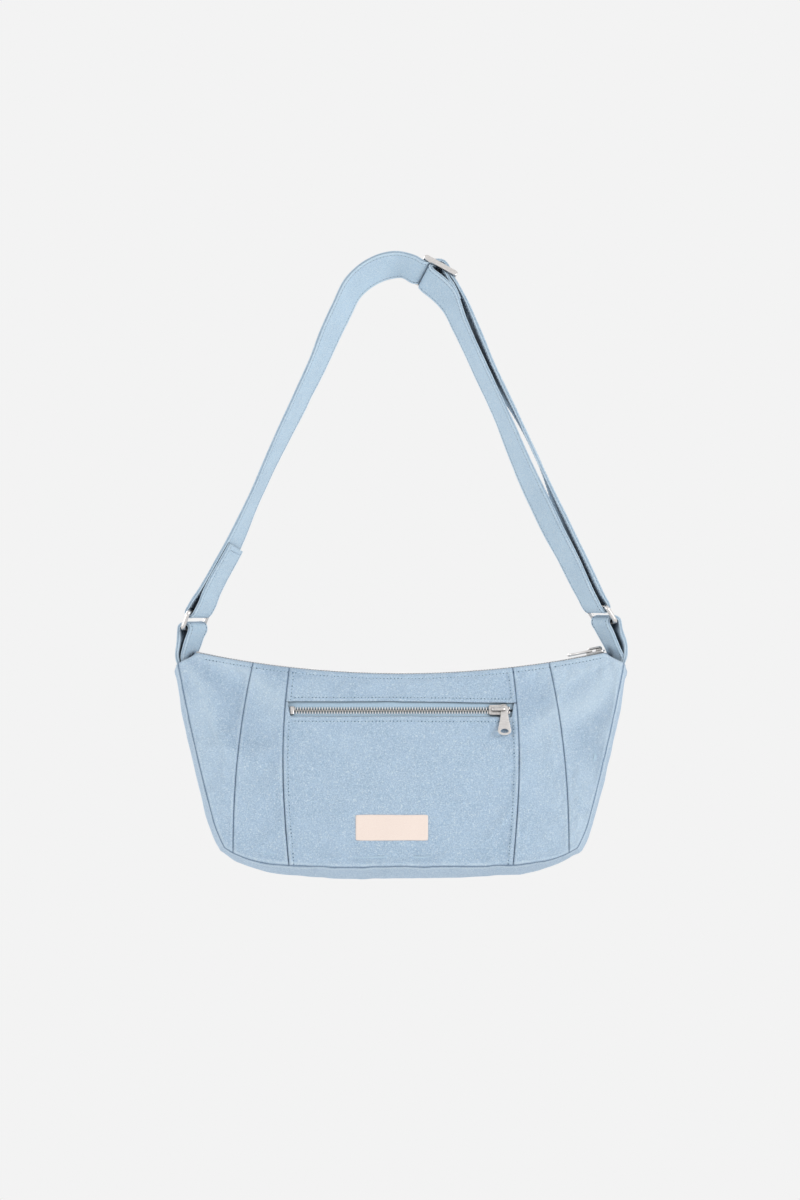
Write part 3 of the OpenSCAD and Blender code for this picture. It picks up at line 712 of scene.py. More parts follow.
@dataclass(frozen=True)
class Cloth:
    """The cloth's outside on the front or the back, with its folds, seams and puckers."""

    shape: BagShape
    front: bool
    sag: Array | None = None

    @property
    def seams(self) -> tuple[int, ...]:
        """The seams between the panels of this side."""
        return (1, 2, 3, 4) if self.front else (1, 4)

    @property
    def way(self) -> float:
        """The way out along y."""
        return -1.0 if self.front else 1.0

    @property
    def seed(self) -> int:
        """The first seed of this side's folds."""
        return 10 if self.front else 40

    def pulls(self, x: Array, z: Array) -> Array:
        """Gives the creases that run from the top corners and the gathers that rise from the base seam.

        Args:
            x: places across in mm.
            z: heights in mm.

        Returns:
            How far they stand out, in mm.
        """
        seed = self.seed
        out = np.zeros(np.broadcast(x, z).shape)
        for side in (-1, 1):
            dx, dz = side * self.shape.side_top_x - x, -(z - self.shape.mouth_end_z)
            far = np.hypot(dx, dz)
            angle = np.arctan2(dz, np.abs(dx) + 1e-6)
            lines = np.sin(angle * 7.5 + soft_noise(x, z, 40, seed + 3) * 1.8 + side)
            fan = np.sin(angle * 4.2 + soft_noise(x, z, 55, seed + 6) * 1.3 + 0.7 * side)
            crease = (1 - np.abs(fan)) ** 3
            out = out + (1.25 * lines + 2.1 * crease - 0.3) * bell(far - 66, 50) * (side * x > 0)
        rise = (1 - np.clip(self.shape.row_v(x, z), 0, 1)) * 170
        gather = soft_noise(x, z * 0, 13, seed + 4) + 0.5 * soft_noise(x, z * 0, 6, seed + 5)
        return out + 0.9 * gather * np.exp(-rise / 24) * (1 - np.exp(-rise / 3))

    def folds(self, x: Array, z: Array) -> Array:
        """Gives the cloth's soft waves and its pulled creases.

        Args:
            x: places across in mm.
            z: heights in mm.

        Returns:
            How far the cloth stands out, in mm.
        """
        v = np.clip(self.shape.row_v(x, z), 0, 1)
        calm = np.sin(math.pi * np.clip(v, 0.02, 0.98)) ** 0.5
        out = calm * (1.3 * soft_noise(x, z, 62, self.seed) + 0.75 * soft_noise(x, z, 24, self.seed + 1)
                      + 0.16 * soft_noise(x, z, 8, self.seed + 2)) + self.pulls(x, z)
        if self.sag is not None:
            out = out + self.sagged(x, v)
        if self.front:
            near_zip = bell(z - self.shape.zip_z, 15) * np.clip((122 - np.abs(x)) / 12, 0, 1)
            out = out * (1 - 0.9 * near_zip)
        return out

    def sagged(self, x: Array, v: Array) -> Array:
        """Reads how far the draped cloth moved.

        Args:
            x: places across in mm.
            v: shares of the way down.

        Returns:
            The simulated movement outward in mm.
        """
        rows, columns = self.sag.shape
        a = np.clip((x / self.shape.side_x(v) + 1) / 2, 0, 1) * (columns - 1)
        b = np.clip(v, 0, 1) * (rows - 1)
        i, j = np.minimum(a.astype(int), columns - 2), np.minimum(b.astype(int), rows - 2)
        s, t = a - i, b - j
        return ((self.sag[j, i] * (1 - s) + self.sag[j, i + 1] * s) * (1 - t)
                + (self.sag[j + 1, i] * (1 - s) + self.sag[j + 1, i + 1] * s) * t)

    def seam_gaps(self, x: Array, v: Array) -> list[Array]:
        """Gives the signed distance to each seam of this side, positive to its right."""
        return [x - self.shape.seam_x(k, v) for k in self.seams]

    def relief(self, x: Array, z: Array) -> Array:
        """Gives how far seams and puckers stand out or sink in.

        Args:
            x: places across in mm.
            z: heights in mm.

        Returns:
            The height of the relief in mm.
        """
        v = self.shape.row_v(x, z)
        out = np.zeros(np.broadcast(x, z).shape)
        for k, gap in zip(self.seams, self.seam_gaps(x, v)):
            pucker = 0.35 * soft_noise(x * 0.3, z, 7, 70 + k) * bell(np.abs(gap) - 3, 6)
            out = out - 0.9 * bell(gap, 0.65) + 0.38 * bell(np.abs(gap) - 2.4, 1.5) + pucker
            if self.front and k in (2, 3):
                inward = gap if k == 2 else -gap
                out = out + 0.9 * bell(inward - 2.6, 2.4) * (inward > 0)
        for gap, deep in ((self.shape.side_gap(x, z), 1.1), (self.shape.base_gap(x, z), 1.5)):
            out = out - deep * bell(gap, 0.9) + 0.55 * bell(gap - 2.8, 1.7)
        if self.front:
            inside = (np.abs(x) < self.shape.slot_half) * 1.0
            ends = np.clip((np.abs(x) - 92) / 8, 0, 1)
            for gap in self.shape.lip_gaps(x, z):
                crimp = 0.5 * np.sin(z * 1.9 + x * 0.6) * ends * bell(gap, 4)
                out = out + inside * (0.45 * bell(gap - 1.6, 1.3) - 0.6 * bell(gap, 0.5) + crimp)
        down = self.shape.edge_z(x) - z
        out = out - bell(down, 0.8) + 0.35 * bell(down - 2.5, 1.6) - 0.35 * bell(down - 4.2, 1.0)
        out = out + 0.3 * soft_noise(x, z * 0.2, 6, 81) * bell(down - 5, 5)
        if self.front:
            # The cloth lies flat where the pocket's pull swings over it
            swept = np.clip((x - 84) / 6, 0, 1) * np.clip((119 - x) / 5, 0, 1) * bell(z - self.shape.zip_z, 12)
            out = out - swept * (0.75 * np.maximum(out, 0) + 0.3)
        return out

    def y(self, x: Array, z: Array) -> Array:
        """Gives the outside's place in y.

        Args:
            x: places across in mm.
            z: heights in mm.

        Returns:
            y in mm, below 0 on the front.
        """
        x, z = np.asarray(x, float), np.asarray(z, float)
        v = self.shape.row_v(x, z)
        return self.way * (self.shape.half_depth(x, v) + self.folds(x, z) + self.relief(x, z))

    def points(self, x: Array, z: Array) -> tuple[Array, Array]:
        """Gives points on the cloth and the way out of it.

        Args:
            x: places across in mm.
            z: heights in mm.

        Returns:
            The points and the unit normals.
        """
        x, z = np.broadcast_arrays(np.asarray(x, float), np.asarray(z, float))
        near = 0.8
        y = self.y(x, z)
        slope_x, slope_z = (self.y(x + near, z) - y) / near, (self.y(x, z + near) - y) / near
        out = unit(np.stack([-slope_x * self.way, np.full_like(y, self.way), -slope_z * self.way], -1))
        return np.stack([x, y, z], -1), out


@dataclass
class Panels:
    """The canvas panels of the front and the back, each a closed sheet with turned edges."""

    shape: BagShape
    front: Cloth
    back: Cloth
    thick: float = 1.6
    levels: int = 124

    def marks(self, cloth: Cloth, x: Array, z: Array) -> dict[str, Array]:
        """Marks painted shade in the seam grooves and crease troughs, and pale ridges beside the seams that are
        partly worn and partly painted highlight, with painted light on crease crests and the bag's sides.

        Args:
            cloth: the side that the panel is on.
            x: places across in mm.
            z: heights in mm.

        Returns:
            The marks, a value for each place.
        """
        v = self.shape.row_v(x, z)
        groove_shade, wear_and_highlight = np.zeros_like(x), np.zeros_like(x)
        # Painted shade in the seam grooves; the pale ridges beside them and beside the pocket zip's lips are
        # partly worn and partly painted highlight
        for gap in cloth.seam_gaps(x, v):
            groove_shade = np.maximum(groove_shade, 0.8 * bell(gap, 0.5))
            wear_and_highlight = np.maximum(wear_and_highlight, bell(np.abs(gap) - 1.8, 0.9) * 0.55)
        for gap in (self.shape.side_gap(x, z), self.shape.base_gap(x, z)):
            groove_shade = np.maximum(groove_shade, bell(gap, 0.8))
            wear_and_highlight = np.maximum(wear_and_highlight, 0.7 * bell(gap - 2.3, 1.0))
        if cloth.front:
            for gap in self.shape.lip_gaps(x, z):
                wear_and_highlight = np.maximum(wear_and_highlight, 0.35 * bell(gap - 1.6, 1.0) * (np.abs(x) < self.shape.slot_half))
        paling_from_wear_and_light = 0.55 + 0.45 * soft_noise(x, z, 9, 95)
        # Painted light and shade: the creases' crests are painted paler and their troughs darker, and the bag's
        # sides and top paler, the right side most, as the light falls there
        fold = cloth.pulls(x, z) + 0.3 * soft_noise(x, z, 20, 96)
        painted_side_light = (0.34 * np.clip((x - 108) / 60, 0, 1) + 0.16 * np.clip((-x - 125) / 60, 0, 1)
               + 0.07 * bell(v, 0.3))
        wear_and_highlight = np.maximum(wear_and_highlight, np.clip(0.13 * fold + painted_side_light, 0, 0.55) / np.maximum(paling_from_wear_and_light, 0.3))
        groove_shade = np.maximum(groove_shade, np.clip(-0.085 * fold, 0, 0.2))
        return {"groove_shade": groove_shade, "wear_and_highlight": wear_and_highlight * paling_from_wear_and_light}

    def sheet(self, name: str, node: str, cloth: Cloth, x: Array, z: Array) -> Piece:
        """Makes one panel from its grid of places.

        Args:
            name: the piece's name.
            node: the solid that it stands for.
            cloth: the side that it is on.
            x: places across in mm, top row first.
            z: heights in mm.

        Returns:
            The panel.
        """
        y = cloth.y(x, z)
        outer, inner = np.stack([x, y, z], -1), np.stack([x, y - cloth.way * self.thick, z], -1)
        piece = make_sheet(name, outer, inner, Finish.CANVAS, "canvas", self.marks(cloth, x, z))
        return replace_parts(piece, node)

    def between(self, name: str, node: str, cloth: Cloth, k0: int, k1: int, columns: int) -> Piece:
        """Makes the panel between two seams.

        Args:
            name: the piece's name.
            node: the solid that it stands for.
            cloth: the side that it is on.
            k0: the seam on its left.
            k1: the seam on its right.
            columns: grid lines across.

        Returns:
            The panel.
        """
        s = spaced(columns, 0.6)[None, :]
        v = spaced(self.levels, 0.6)[:, None]

        def across(level: Array) -> Array:
            """Gives places between the two seams at a level."""
            return self.shape.seam_x(k0, level) * (1 - s) + self.shape.seam_x(k1, level) * s

        top, low = across(np.zeros((1, 1))), across(np.ones((1, 1)))
        z = self.shape.edge_z(top) * (1 - v) + self.shape.base_seam_z(low) * v
        return self.sheet(name, node, cloth, across(v) + 0 * z, z)

    def level(self, name: str, node: str, upper: bool, rows: int) -> Piece:
        """Makes the strip over the pocket's zip, or the pocket's face under it.

        Args:
            name: the piece's name.
            node: the solid that it stands for.
            upper: True for the strip over the zip.
            rows: grid lines down.

        Returns:
            The panel.
        """
        s = 2 * spaced(150, 0.6)[None, :] - 1
        t = spaced(rows, 0.6)[:, None]
        plain_x = self.shape.pocket_seam_x * s
        # At the zip the seams have bowed out by 3.4%
        lip = self.shape.lip_z(plain_x * 1.034, upper)
        top = self.shape.edge_z(plain_x) if upper else lip
        low = lip if upper else self.shape.base_seam_z(plain_x)
        z = top * (1 - t) + low * t
        x = self.shape.seam_x(3, self.shape.row_v(plain_x + 0 * z, z)) * s
        if not upper:
            z = z + (self.shape.base_seam_z(x) - self.shape.base_seam_z(plain_x)) * t
        return self.sheet(name, node, self.front, x, z)

    def build(self) -> list[Piece]:
        """Makes all the panels.

        Returns:
            The panels.
        """
        return [
            self.between("front_left_side_panel", "front_side_left", self.front, 0, 1, 52),
            self.between("front_left_inner_panel", "front_inner_left", self.front, 1, 2, 34),
            self.level("front_strip_over_zip", "front_top_strip", True, 30),
            self.level("front_pocket_face", "front_pocket_panel", False, 96),
            self.between("front_right_inner_panel", "front_inner_right", self.front, 3, 4, 34),
            self.between("front_right_side_panel", "front_side_right", self.front, 4, 5, 52),
            self.between("back_left_side_panel", "back_side_left", self.back, 0, 1, 44),
            self.between("back_middle_panel", "back_centre", self.back, 1, 4, 150),
            self.between("back_right_side_panel", "back_side_right", self.back, 4, 5, 44),
        ]

    def stitch(self) -> list[Piece]:
        """Sews the topstitching of both sides.

        Returns:
            The thread and the needle holes' painted shade.
        """
        shape, made = self.shape, []
        for cloth, name, seams, seam_x in (
                (self.front, "front_stitching", ((2, 1), (3, -1)), shape.pocket_seam_x),
                (self.back, "back_stitching", ((1, 1), (4, -1)), shape.side_seam_x)):
            rows = Stitching(name, "bag_body")
            x = np.linspace(-174, 174, 400)
            rows.row(*cloth.points(x, shape.edge_z(x) - 4.2))
            v = np.linspace(0.03, 0.985, 300)
            z = shape.edge_z(seam_x) * (1 - v) + shape.base_seam_z(seam_x) * v
            # The front's rows beside the pocket leave its zip free
            parts = (z > shape.zip_z + 8, z < shape.zip_z - 8) if cloth.front else (z < 0,)
            for k, side in seams:
                x = shape.seam_x(k, v) + side * 4.4
                for part in parts:
                    rows.row(*cloth.points(x[part], z[part]))
            if cloth.front:
                x = np.linspace(-96, 96, 300)
                rows.row(*cloth.points(x, shape.lip_z(x, True) + 3.4))
                rows.row(*cloth.points(x, shape.lip_z(x, False) - 4.2))
            made += rows.make()
        return made


@dataclass
class Gusset:
    """The long band of canvas between front and back, down the sides and round the base."""

    shape: BagShape
    thick: float = 1.6
    step: float = 2.3
    # Steps over which the way along the seam is smoothed, so that the band turns its corners in a curve
    smoothing: int = 12

    def seam_path(self) -> tuple[Array, Array, Array]:
        """Walks down the left side, along the base and up the right side.

        Returns:
            The seam's x, its z and the share of the way down, about 2.3 mm apart.
        """
        v = np.linspace(0, 1, 84)[:-1]
        corner = float(self.shape.side_x(np.array(1.0)))
        low = self.shape.base_seam_z(corner)
        side_z = self.shape.edge_z(self.shape.side_top_x) * (1 - v) + low * v
        x = corner * np.sin(np.linspace(-math.pi / 2, math.pi / 2, 190))
        path_x = np.concatenate([-self.shape.side_x(v), x, self.shape.side_x(v)[::-1]])
        path_z = np.concatenate([side_z, self.shape.base_seam_z(x), side_z[::-1]])
        path_v = np.concatenate([v, np.ones(190), v[::-1]])
        return path_x, path_z, path_v

    def build(self) -> Piece:
        """Makes the band.

        Returns:
            The piece.
        """
        shape = self.shape
        x, z, v = self.seam_path()
        along = unit(np.stack([np.gradient(x), np.gradient(z)], -1))
        kernel = np.exp(-(np.arange(-self.smoothing, self.smoothing + 1) * 2 / self.smoothing) ** 2)
        kernel /= kernel.sum()
        padded = np.pad(along, ((self.smoothing, self.smoothing), (0, 0)), mode="edge")
        along = unit(np.stack([np.convolve(padded[:, k], kernel, "valid") for k in (0, 1)], -1))
        out = np.stack([along[:, 1], -along[:, 0]], -1)
        base = shape.gusset_bulge + (shape.base_sag - shape.gusset_bulge) * (1 - (x / shape.corner_x) ** 2)
        bulge = np.where(v < 1, shape.gusset_bulge * np.minimum(1, 0.65 + v), base)
        u = (2 * spaced(44, 0.55) - 1)[None, :]
        deep = (shape.half_depth(x, shape.row_v(x, z)) - 1.7)[:, None]
        count = np.arange(len(x))
        way = count[:, None] * self.step + 0 * u
        edge = (1 - np.abs(u)) * deep
        waves = 0.9 * soft_noise(way, u * deep, 38, 51) + 0.5 * soft_noise(way, u * deep, 15, 52)
        puckers = 0.5 * soft_noise(way, u * 6, 8, 53) * bell(edge - 4, 8)
        lift = (bulge[:, None] * (1 - u ** 2) + waves * np.clip(edge / 12, 0, 1) + puckers
                - 0.9 * bell(edge, 0.8) + 0.5 * bell(edge - 2.8, 1.9))
        # The band's two ends are scooped between front and back
        from_end = np.minimum(count, count[::-1])[:, None] * self.step
        scoop = 7.0 * (1 - u ** 2) * bell(from_end, 12)

        def face(inset: float) -> Array:
            """Gives the band's points at a depth under its outside."""
            rise = lift - inset
            return np.stack([x[:, None] + out[:, :1] * rise, u * deep + 0 * rise,
                             z[:, None] + out[:, 1:] * rise - scoop], -1)

        # Painted shade in the seam grooves at the band's edges; the pale ridges beside them are partly worn and
        # partly painted highlight
        marks = {"groove_shade": 0.9 * bell(edge, 0.7), "wear_and_highlight": 0.65 * bell(edge - 2.6, 1.2)}
        piece = make_sheet("gusset_band", face(0), face(self.thick), Finish.CANVAS, "canvas", marks)
        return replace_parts(piece, "gusset_left", "gusset_base", "gusset_right")


@dataclass
class Inside:
    """The bound seam allowances and the pocket's pouch, which the zips hide."""

    # The folded tape's section, inward from the seam and down into the bag: thickest at its rounded fold
    BINDING = ((3.4, 0.0), (6.0, 0.1), (9.0, 0.0), (9.9, 0.5), (9.0, 1.3), (6.0, 1.1), (3.4, 1.0))

    shape: BagShape

    def build(self) -> list[Piece]:
        """Makes the bindings and the pouch.

        Returns:
            The pieces.
        """
        shape = self.shape
        x, z, v = (values[8:-8:3] for values in Gusset(shape).seam_path())
        along = unit(np.stack([np.gradient(x), np.gradient(z)], -1))
        deep = shape.half_depth(x, v) - 3.1
        made = []
        for side, name in ((-1, "front_seam_binding"), (1, "back_seam_binding")):
            rings = [np.stack([x - along[:, 1] * inward, side * (deep - down), z + along[:, 0] * inward], -1)
                     for inward, down in self.BINDING]
            verts = np.stack(rings, 1)
            piece = make_piece(name + "_tape", verts.reshape(-1, 3), tube_faces(*verts.shape[:2]),
                               Finish.TAPE, "bag_body", "tape")
            made.append(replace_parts(piece, name))
        s, t = np.linspace(-1, 1, 60)[None, :], np.linspace(0, 1, 50)[:, None]
        top = shape.zip_z + 12.3
        x = shape.slot_half * s + 0 * t
        z = top - (top - shape.base_z - 10) * t + 0 * s
        sink = np.minimum(1, np.minimum(t / 0.14, (1 - t) / 0.1)) * (1 - np.abs(s) ** 14)
        deep = (shape.half_depth(x, shape.row_v(x, z)) - 4.6 - 9.5 * sink
                - 0.6 * soft_noise(x, z, 20, 61) * sink)
        outer = np.stack([x, -deep, z], -1)
        pouch = make_sheet("pocket_pouch_cloth", outer, outer + [0, 0.8, 0], Finish.POUCH, "tape")
        made.append(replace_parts(pouch, "pocket_pouch"))
        return made


# ---- Metal parts and zips


@dataclass(frozen=True)
class Place:
    """A local frame in mm: its origin and its axes, one axis a row."""

    origin: Array
    axes: Array

    def put(self, points: Array) -> Array:
        """Moves points from this frame into the bag's frame."""
        return self.origin + np.asarray(points, float) @ self.axes


def on_mouth(shape: BagShape, x: float, drop: float = 1.6) -> Place:
    """Gives the frame of the main zip's chain at x, its y across the bag and its z up."""
    radius = shape.mouth_r + drop
    turn = math.asin(x / radius)
    axes = np.array([[math.cos(turn), 0, math.sin(turn)], [0, 1, 0], [-math.sin(turn), 0, math.cos(turn)]])
    return Place(np.array([0, 0, shape.mouth_centre_z]) - radius * axes[2], axes)


def on_pocket(shape: BagShape, x: float) -> Place:
    """Gives the frame of the pocket zip's chain at x, its y up the bag and its z out of it."""
    lean = math.radians(shape.zip_lean)
    axes = np.array([[1, 0, 0], [0, math.sin(lean), math.cos(lean)], [0, -math.cos(lean), math.sin(lean)]])
    # The chain's middle lies 3 mm under the cloth's face
    return Place(np.array([x, shape.zip_y, shape.zip_z]) - 3.0 * axes[2], axes)


def prism(outline: list[tuple[float, float]], low: float, high: float) -> Mesh:
    """Raises an outline into a plate.

    Args:
        outline: its corners in mm, anticlockwise.
        low: the plate's underside.
        high: the plate's top.

    Returns:
        Points and faces.
    """
    count = len(outline)
    verts = np.array([[x, y, z] for z in (low, high) for x, y in outline], float)
    sides = [[i, (i + 1) % count, count + (i + 1) % count, count + i] for i in range(count)]
    return verts, sides + [list(range(count - 1, -1, -1)), list(range(count, 2 * count))]


def brick(x: tuple[float, float], y: tuple[float, float], z: tuple[float, float]) -> Mesh:
    """Makes a rectangular block between its limits in x, y and z."""
    return prism([(x[0], y[0]), (x[1], y[0]), (x[1], y[1]), (x[0], y[1])], *z)


def join(parts: list[Mesh]) -> Mesh:
    """Joins meshes into one list of points and one of faces."""
    verts, faces, start = [], [], 0
    for points, corners in parts:
        verts.append(points)
        faces += [[v + start for v in face] for face in corners]
        start += len(points)
    return np.concatenate(verts), faces


def wire(path: Array, radii: Array, side: Array, around: int = 12) -> Mesh:
    """Sweeps an oval along a line.

    Args:
        path: points of the line, (n, 3).
        radii: half width along side and half height at each point, (n, 2).
        side: the way across the line, the same all along it.
        around: points round the oval.

    Returns:
        Points and faces.
    """
    along = unit(np.gradient(path, axis=0))
    across = unit(np.broadcast_to(side, path.shape) - along * (along @ np.asarray(side))[:, None])
    up = np.cross(along, across)
    turn = np.linspace(0, 2 * math.pi, around, endpoint=False)
    ring = (across[:, None] * (np.cos(turn)[None, :, None] * radii[:, None, :1])
            + up[:, None] * (np.sin(turn)[None, :, None] * radii[:, None, 1:]))
    return (path[:, None] + ring).reshape(-1, 3), tube_faces(len(path), around)


def crease(piece: Piece) -> None:
    """Shades a smooth piece's edges of over 50 degrees sharp."""
    piece.data.set_sharp_from_angle(angle=math.radians(50))


def bevel(piece: Piece, width: float, segments: int = 2) -> Piece:
    """Rounds a piece's sharp edges.

    Args:
        piece: the piece.
        width: width of the rounding in mm.
        segments: faces across it.

    Returns:
        The same piece.
    """
    rounding = piece.modifiers.new("rounded_edges", "BEVEL")
    rounding.width, rounding.segments = width * MM, segments
    rounding.limit_method, rounding.angle_limit = "ANGLE", math.radians(40)
    return piece


def cut_plate(loops: list[Array], thick: float, edge: float) -> Mesh:
    """Makes a flat plate with holes and rounded edges.

    Args:
        loops: outlines in the plane, the outer one first.
        thick: the plate's thickness.
        edge: radius of its edges.

    Returns:
        Points and faces, with the plate centred on z = 0.
    """
    curve = bpy.data.curves.new("plate", "CURVE")
    curve.dimensions, curve.fill_mode = "2D", "BOTH"
    curve.extrude, curve.bevel_depth, curve.bevel_resolution = thick / 2 - edge, edge, 2
    curve.offset = -edge
    for loop in loops:
        spline = curve.splines.new("POLY")
        spline.points.add(len(loop) - 1)
        for point, (x, y) in zip(spline.points, loop):
            point.co = (x, y, 0, 1)
        spline.use_cyclic_u = True
    holder = add_object("plate", curve)
    graph = bpy.context.evaluated_depsgraph_get()
    mesh = bpy.data.meshes.new_from_object(holder.evaluated_get(graph))
    work = bmesh.new()
    work.from_mesh(mesh)
    bmesh.ops.remove_doubles(work, verts=work.verts, dist=0.002)
    verts = np.array([list(v.co) for v in work.verts])
    faces = [[v.index for v in face.verts] for face in work.faces]
    work.free()
    bpy.data.objects.remove(holder)
    bpy.data.curves.remove(curve)
    bpy.data.meshes.remove(mesh)
    return verts, faces


class ZipSide(Enum):
    """The two zips: where their chain runs and what they hang on."""

    MOUTH = "main"
    POCKET = "pocket"


@dataclass
class Zip:
    """A metal zip: tapes, teeth, stops, slider and pull."""

    shape: BagShape
    side: ZipSide
    pitch: float = 2.4
    top_z: float = 3.0
    bridge_x: float = 5.25

    @property
    def mouth(self) -> bool:
        """Whether this is the main zip, in the bag's mouth."""
        return self.side is ZipSide.MOUTH

    @property
    def half(self) -> float:
        """Half the length of the chain."""
        return 177.0 if self.mouth else 94.0

    @property
    def slider_x(self) -> float:
        """The slider's place at rest, at the closed end."""
        return 171.65 if self.mouth else 85.45

    @property
    def halves(self) -> tuple[tuple[str, int], tuple[str, int]]:
        """The names of the zip's two halves, and the side of the chain that each is on."""
        return (("back", 1), ("front", -1)) if self.mouth else (("upper", 1), ("lower", -1))

    def at(self, x: float) -> Place:
        """Gives the chain's frame at x."""
        return on_mouth(self.shape, x) if self.mouth else on_pocket(self.shape, x)

    def teeth(self) -> list[Piece]:
        """Makes both rows of teeth, which mesh along the middle.

        Returns:
            The two rows.
        """
        outline = [(-0.36, -0.2), (0.36, -0.2), (0.5, 0.1), (0.5, 2.9),
                   (0.36, 3.1), (-0.36, 3.1), (-0.5, 2.9), (-0.5, 0.1)]
        rings = [(-1.3, 0.78), (-1.0, 1.0), (1.0, 1.0), (1.3, 0.78)]
        shape = np.array([[x * r, y * r + (1 - r) * 1.2, z] for z, r in rings for x, y in outline])
        made = []
        for name, side in self.halves:
            along = np.arange(-self.half + 0.9 + (side < 0) * self.pitch / 2, self.half - 0.6, self.pitch)
            places = [self.at(x) for x in along]
            verts, faces = stamp(shape, tube_faces(4, 8), np.array([p.origin for p in places]),
                                 np.array([[side * p.axes[0], side * p.axes[1], p.axes[2]] for p in places]))
            row = make_piece(f"{self.side.value}_zip_teeth_{name}", verts, faces, Finish.TEETH, "bag_body",
                             "metal", smooth=False)
            made.append(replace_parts(row, f"{self.side.value}_teeth_{name}"))
        return made

    def stops(self) -> Piece:
        """Makes the bottom stop, a clamped box, and the two top stops.

        Returns:
            The stops as one piece.
        """
        wide, high = (2.6, 1.3) if self.mouth else (3.6, 1.7)
        low, faces = brick((-1.9, 1.7), (-wide, wide), (-high, high))
        parts = [(self.at(-self.half - 1.6).put(low), faces)]
        for side in (-1, 1):
            top, faces = brick((-0.9, 0.7), (side * 1.9 - 1.4, side * 1.9 + 1.4), (-1.5, 1.5))
            parts.append((self.at(self.half + 0.9).put(top), faces))
        piece = make_piece(f"{self.side.value}_zip_stop_set", *join(parts), Finish.NICKEL, "bag_body", "metal")
        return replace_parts(bevel(piece, 0.4, 3), f"{self.side.value}_zip_stops")

    def slider(self) -> Piece:
        """Makes the slider's body: two plates with turned flanges and the bridge over them.

        Returns:
            The slider.
        """
        half = [(-8.2, -3.7), (-7.5, -4.3), (1.2, -4.5), (4.0, -5.15), (6.4, -5.0), (8.2, -3.3)]
        outline = half + [(x, -y) for x, y in reversed(half)]
        parts = [prism(outline, 1.6, self.top_z), prism(outline, -self.top_z, -1.6)]
        for side in (-1, 1):
            strip = (min(side * 3.55, side * 4.35), max(side * 3.55, side * 4.35))
            parts += [brick((-7.2, 7.2), strip, (0.8, 1.7)), brick((-7.2, 7.2), strip, (-1.7, -0.8))]
        # A raised rib on the top plate, under the bridge
        if self.mouth:
            parts.append(brick((0.6, 5.6), (-2.2, 2.2), (self.top_z, self.top_z + 1.7)))
        else:
            parts.append(brick((-3.0, 3.4), (-1.3, 1.3), (self.top_z, self.top_z + 0.35)))
        rise, bend = 5.7, 1.3
        left = [(-self.bridge_x - 0.2 + bend * (1 - math.sin(t)), rise + 0.2 - bend + bend * math.cos(t))
                for t in np.linspace(math.pi / 2, 0, 6)]
        right = [(-x, z) for x, z in left[::-1]]
        foot = [(self.bridge_x, 4.2), (self.bridge_x, self.top_z - 0.3)]
        line = [(-x, z) for x, z in foot[::-1]] + left + [(0.0, rise + 0.3)] + right + foot
        path = np.array([[x, 0, z] for x, z in line])
        stout = 1.45 if self.mouth else 1.0
        wide = np.array([[0.88 * stout + 0.7 * min(1.0, max(0.0, z - 4.6)),
                          0.76 * stout if z > 5 else 0.88 * min(stout, 1.1)] for _, z in line])
        parts.append(wire(path, wide, np.array([0.0, 1.0, 0.0])))
        verts, faces = join(parts)
        piece = make_piece(f"{self.side.value}_zip_slider", self.at(self.slider_x).put(verts), faces,
                           Finish.CASTING, f"{self.side.value}_slider_body", "metal")
        crease(piece)
        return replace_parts(bevel(piece, 0.35, 3), f"{self.side.value}_slider")

    def pull(self) -> Piece:
        """Makes the pull: an eye or a fork at the slider, and a flared blade with an oval hole.

        Returns:
            The pull.
        """
        turn = np.linspace(0, 2 * math.pi, 25)[:-1]
        reach = 21.4 if self.mouth else 23.6
        end = [(-6.0 * math.cos(a), -reach + 4.4 - 4.4 * math.sin(a)) for a in np.linspace(0, math.pi, 13)]
        hole = np.stack([np.cos(turn) * (3.5 - 0.5 * np.sin(turn)), -reach + 4.0 + 1.9 * np.sin(turn)], -1)
        hole = hole[::-1]
        if not self.mouth:
            eye = [(3.6 * math.cos(a), 3.6 * math.sin(a)) for a in np.linspace(-0.55, math.pi + 0.55, 22)]
            neck = [(-3.3, -4.5), (-3.7, -8.0), (-4.9, -14.0)]
            outer = np.array(eye + neck + end + [(-x, y) for x, y in reversed(neck)])
            bore = np.stack([0.98 * np.cos(turn), 0.98 * np.sin(turn)], -1)[::-1]
            verts, faces = cut_plate([outer, bore, hole], 1.3, 0.3)
            place = self.at(self.slider_x + self.bridge_x)
            verts = place.put(verts + [0, 0, self.top_z + 0.3 + 0.65])
        else:
            fork = [(3.3, 0.7), (2.25, 0.7), (2.25, -4.3), (-2.25, -4.3), (-2.25, 0.7), (-3.3, 0.7)]
            neck = [(-3.5, -4.5), (-3.8, -8.0), (-4.7, -13.0)]
            outer = np.array(fork + neck + end + [(-x, y) for x, y in reversed(neck)])
            blade = cut_plate([outer, hole], 2.3, 0.5)
            bar_path = np.array([[x, 0, 0] for x in np.linspace(-3.0, 3.0, 5)])
            bar = wire(bar_path, np.full((5, 2), 0.78), np.array([0.0, 1.0, 0.0]))
            verts, faces = join([blade, bar])
            # The blade's length runs along the chain, towards the open end
            verts = np.stack([verts[:, 1], -verts[:, 0], verts[:, 2]], -1)
            verts = self.at(self.slider_x).put(verts + [-3.35, 0, self.top_z + 1.2])
        piece = make_piece(f"{self.side.value}_zip_pull", verts, faces, Finish.NICKEL,
                           f"{self.side.value}_pull_body", "metal")
        crease(piece)
        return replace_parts(piece, f"{self.side.value}_pull")

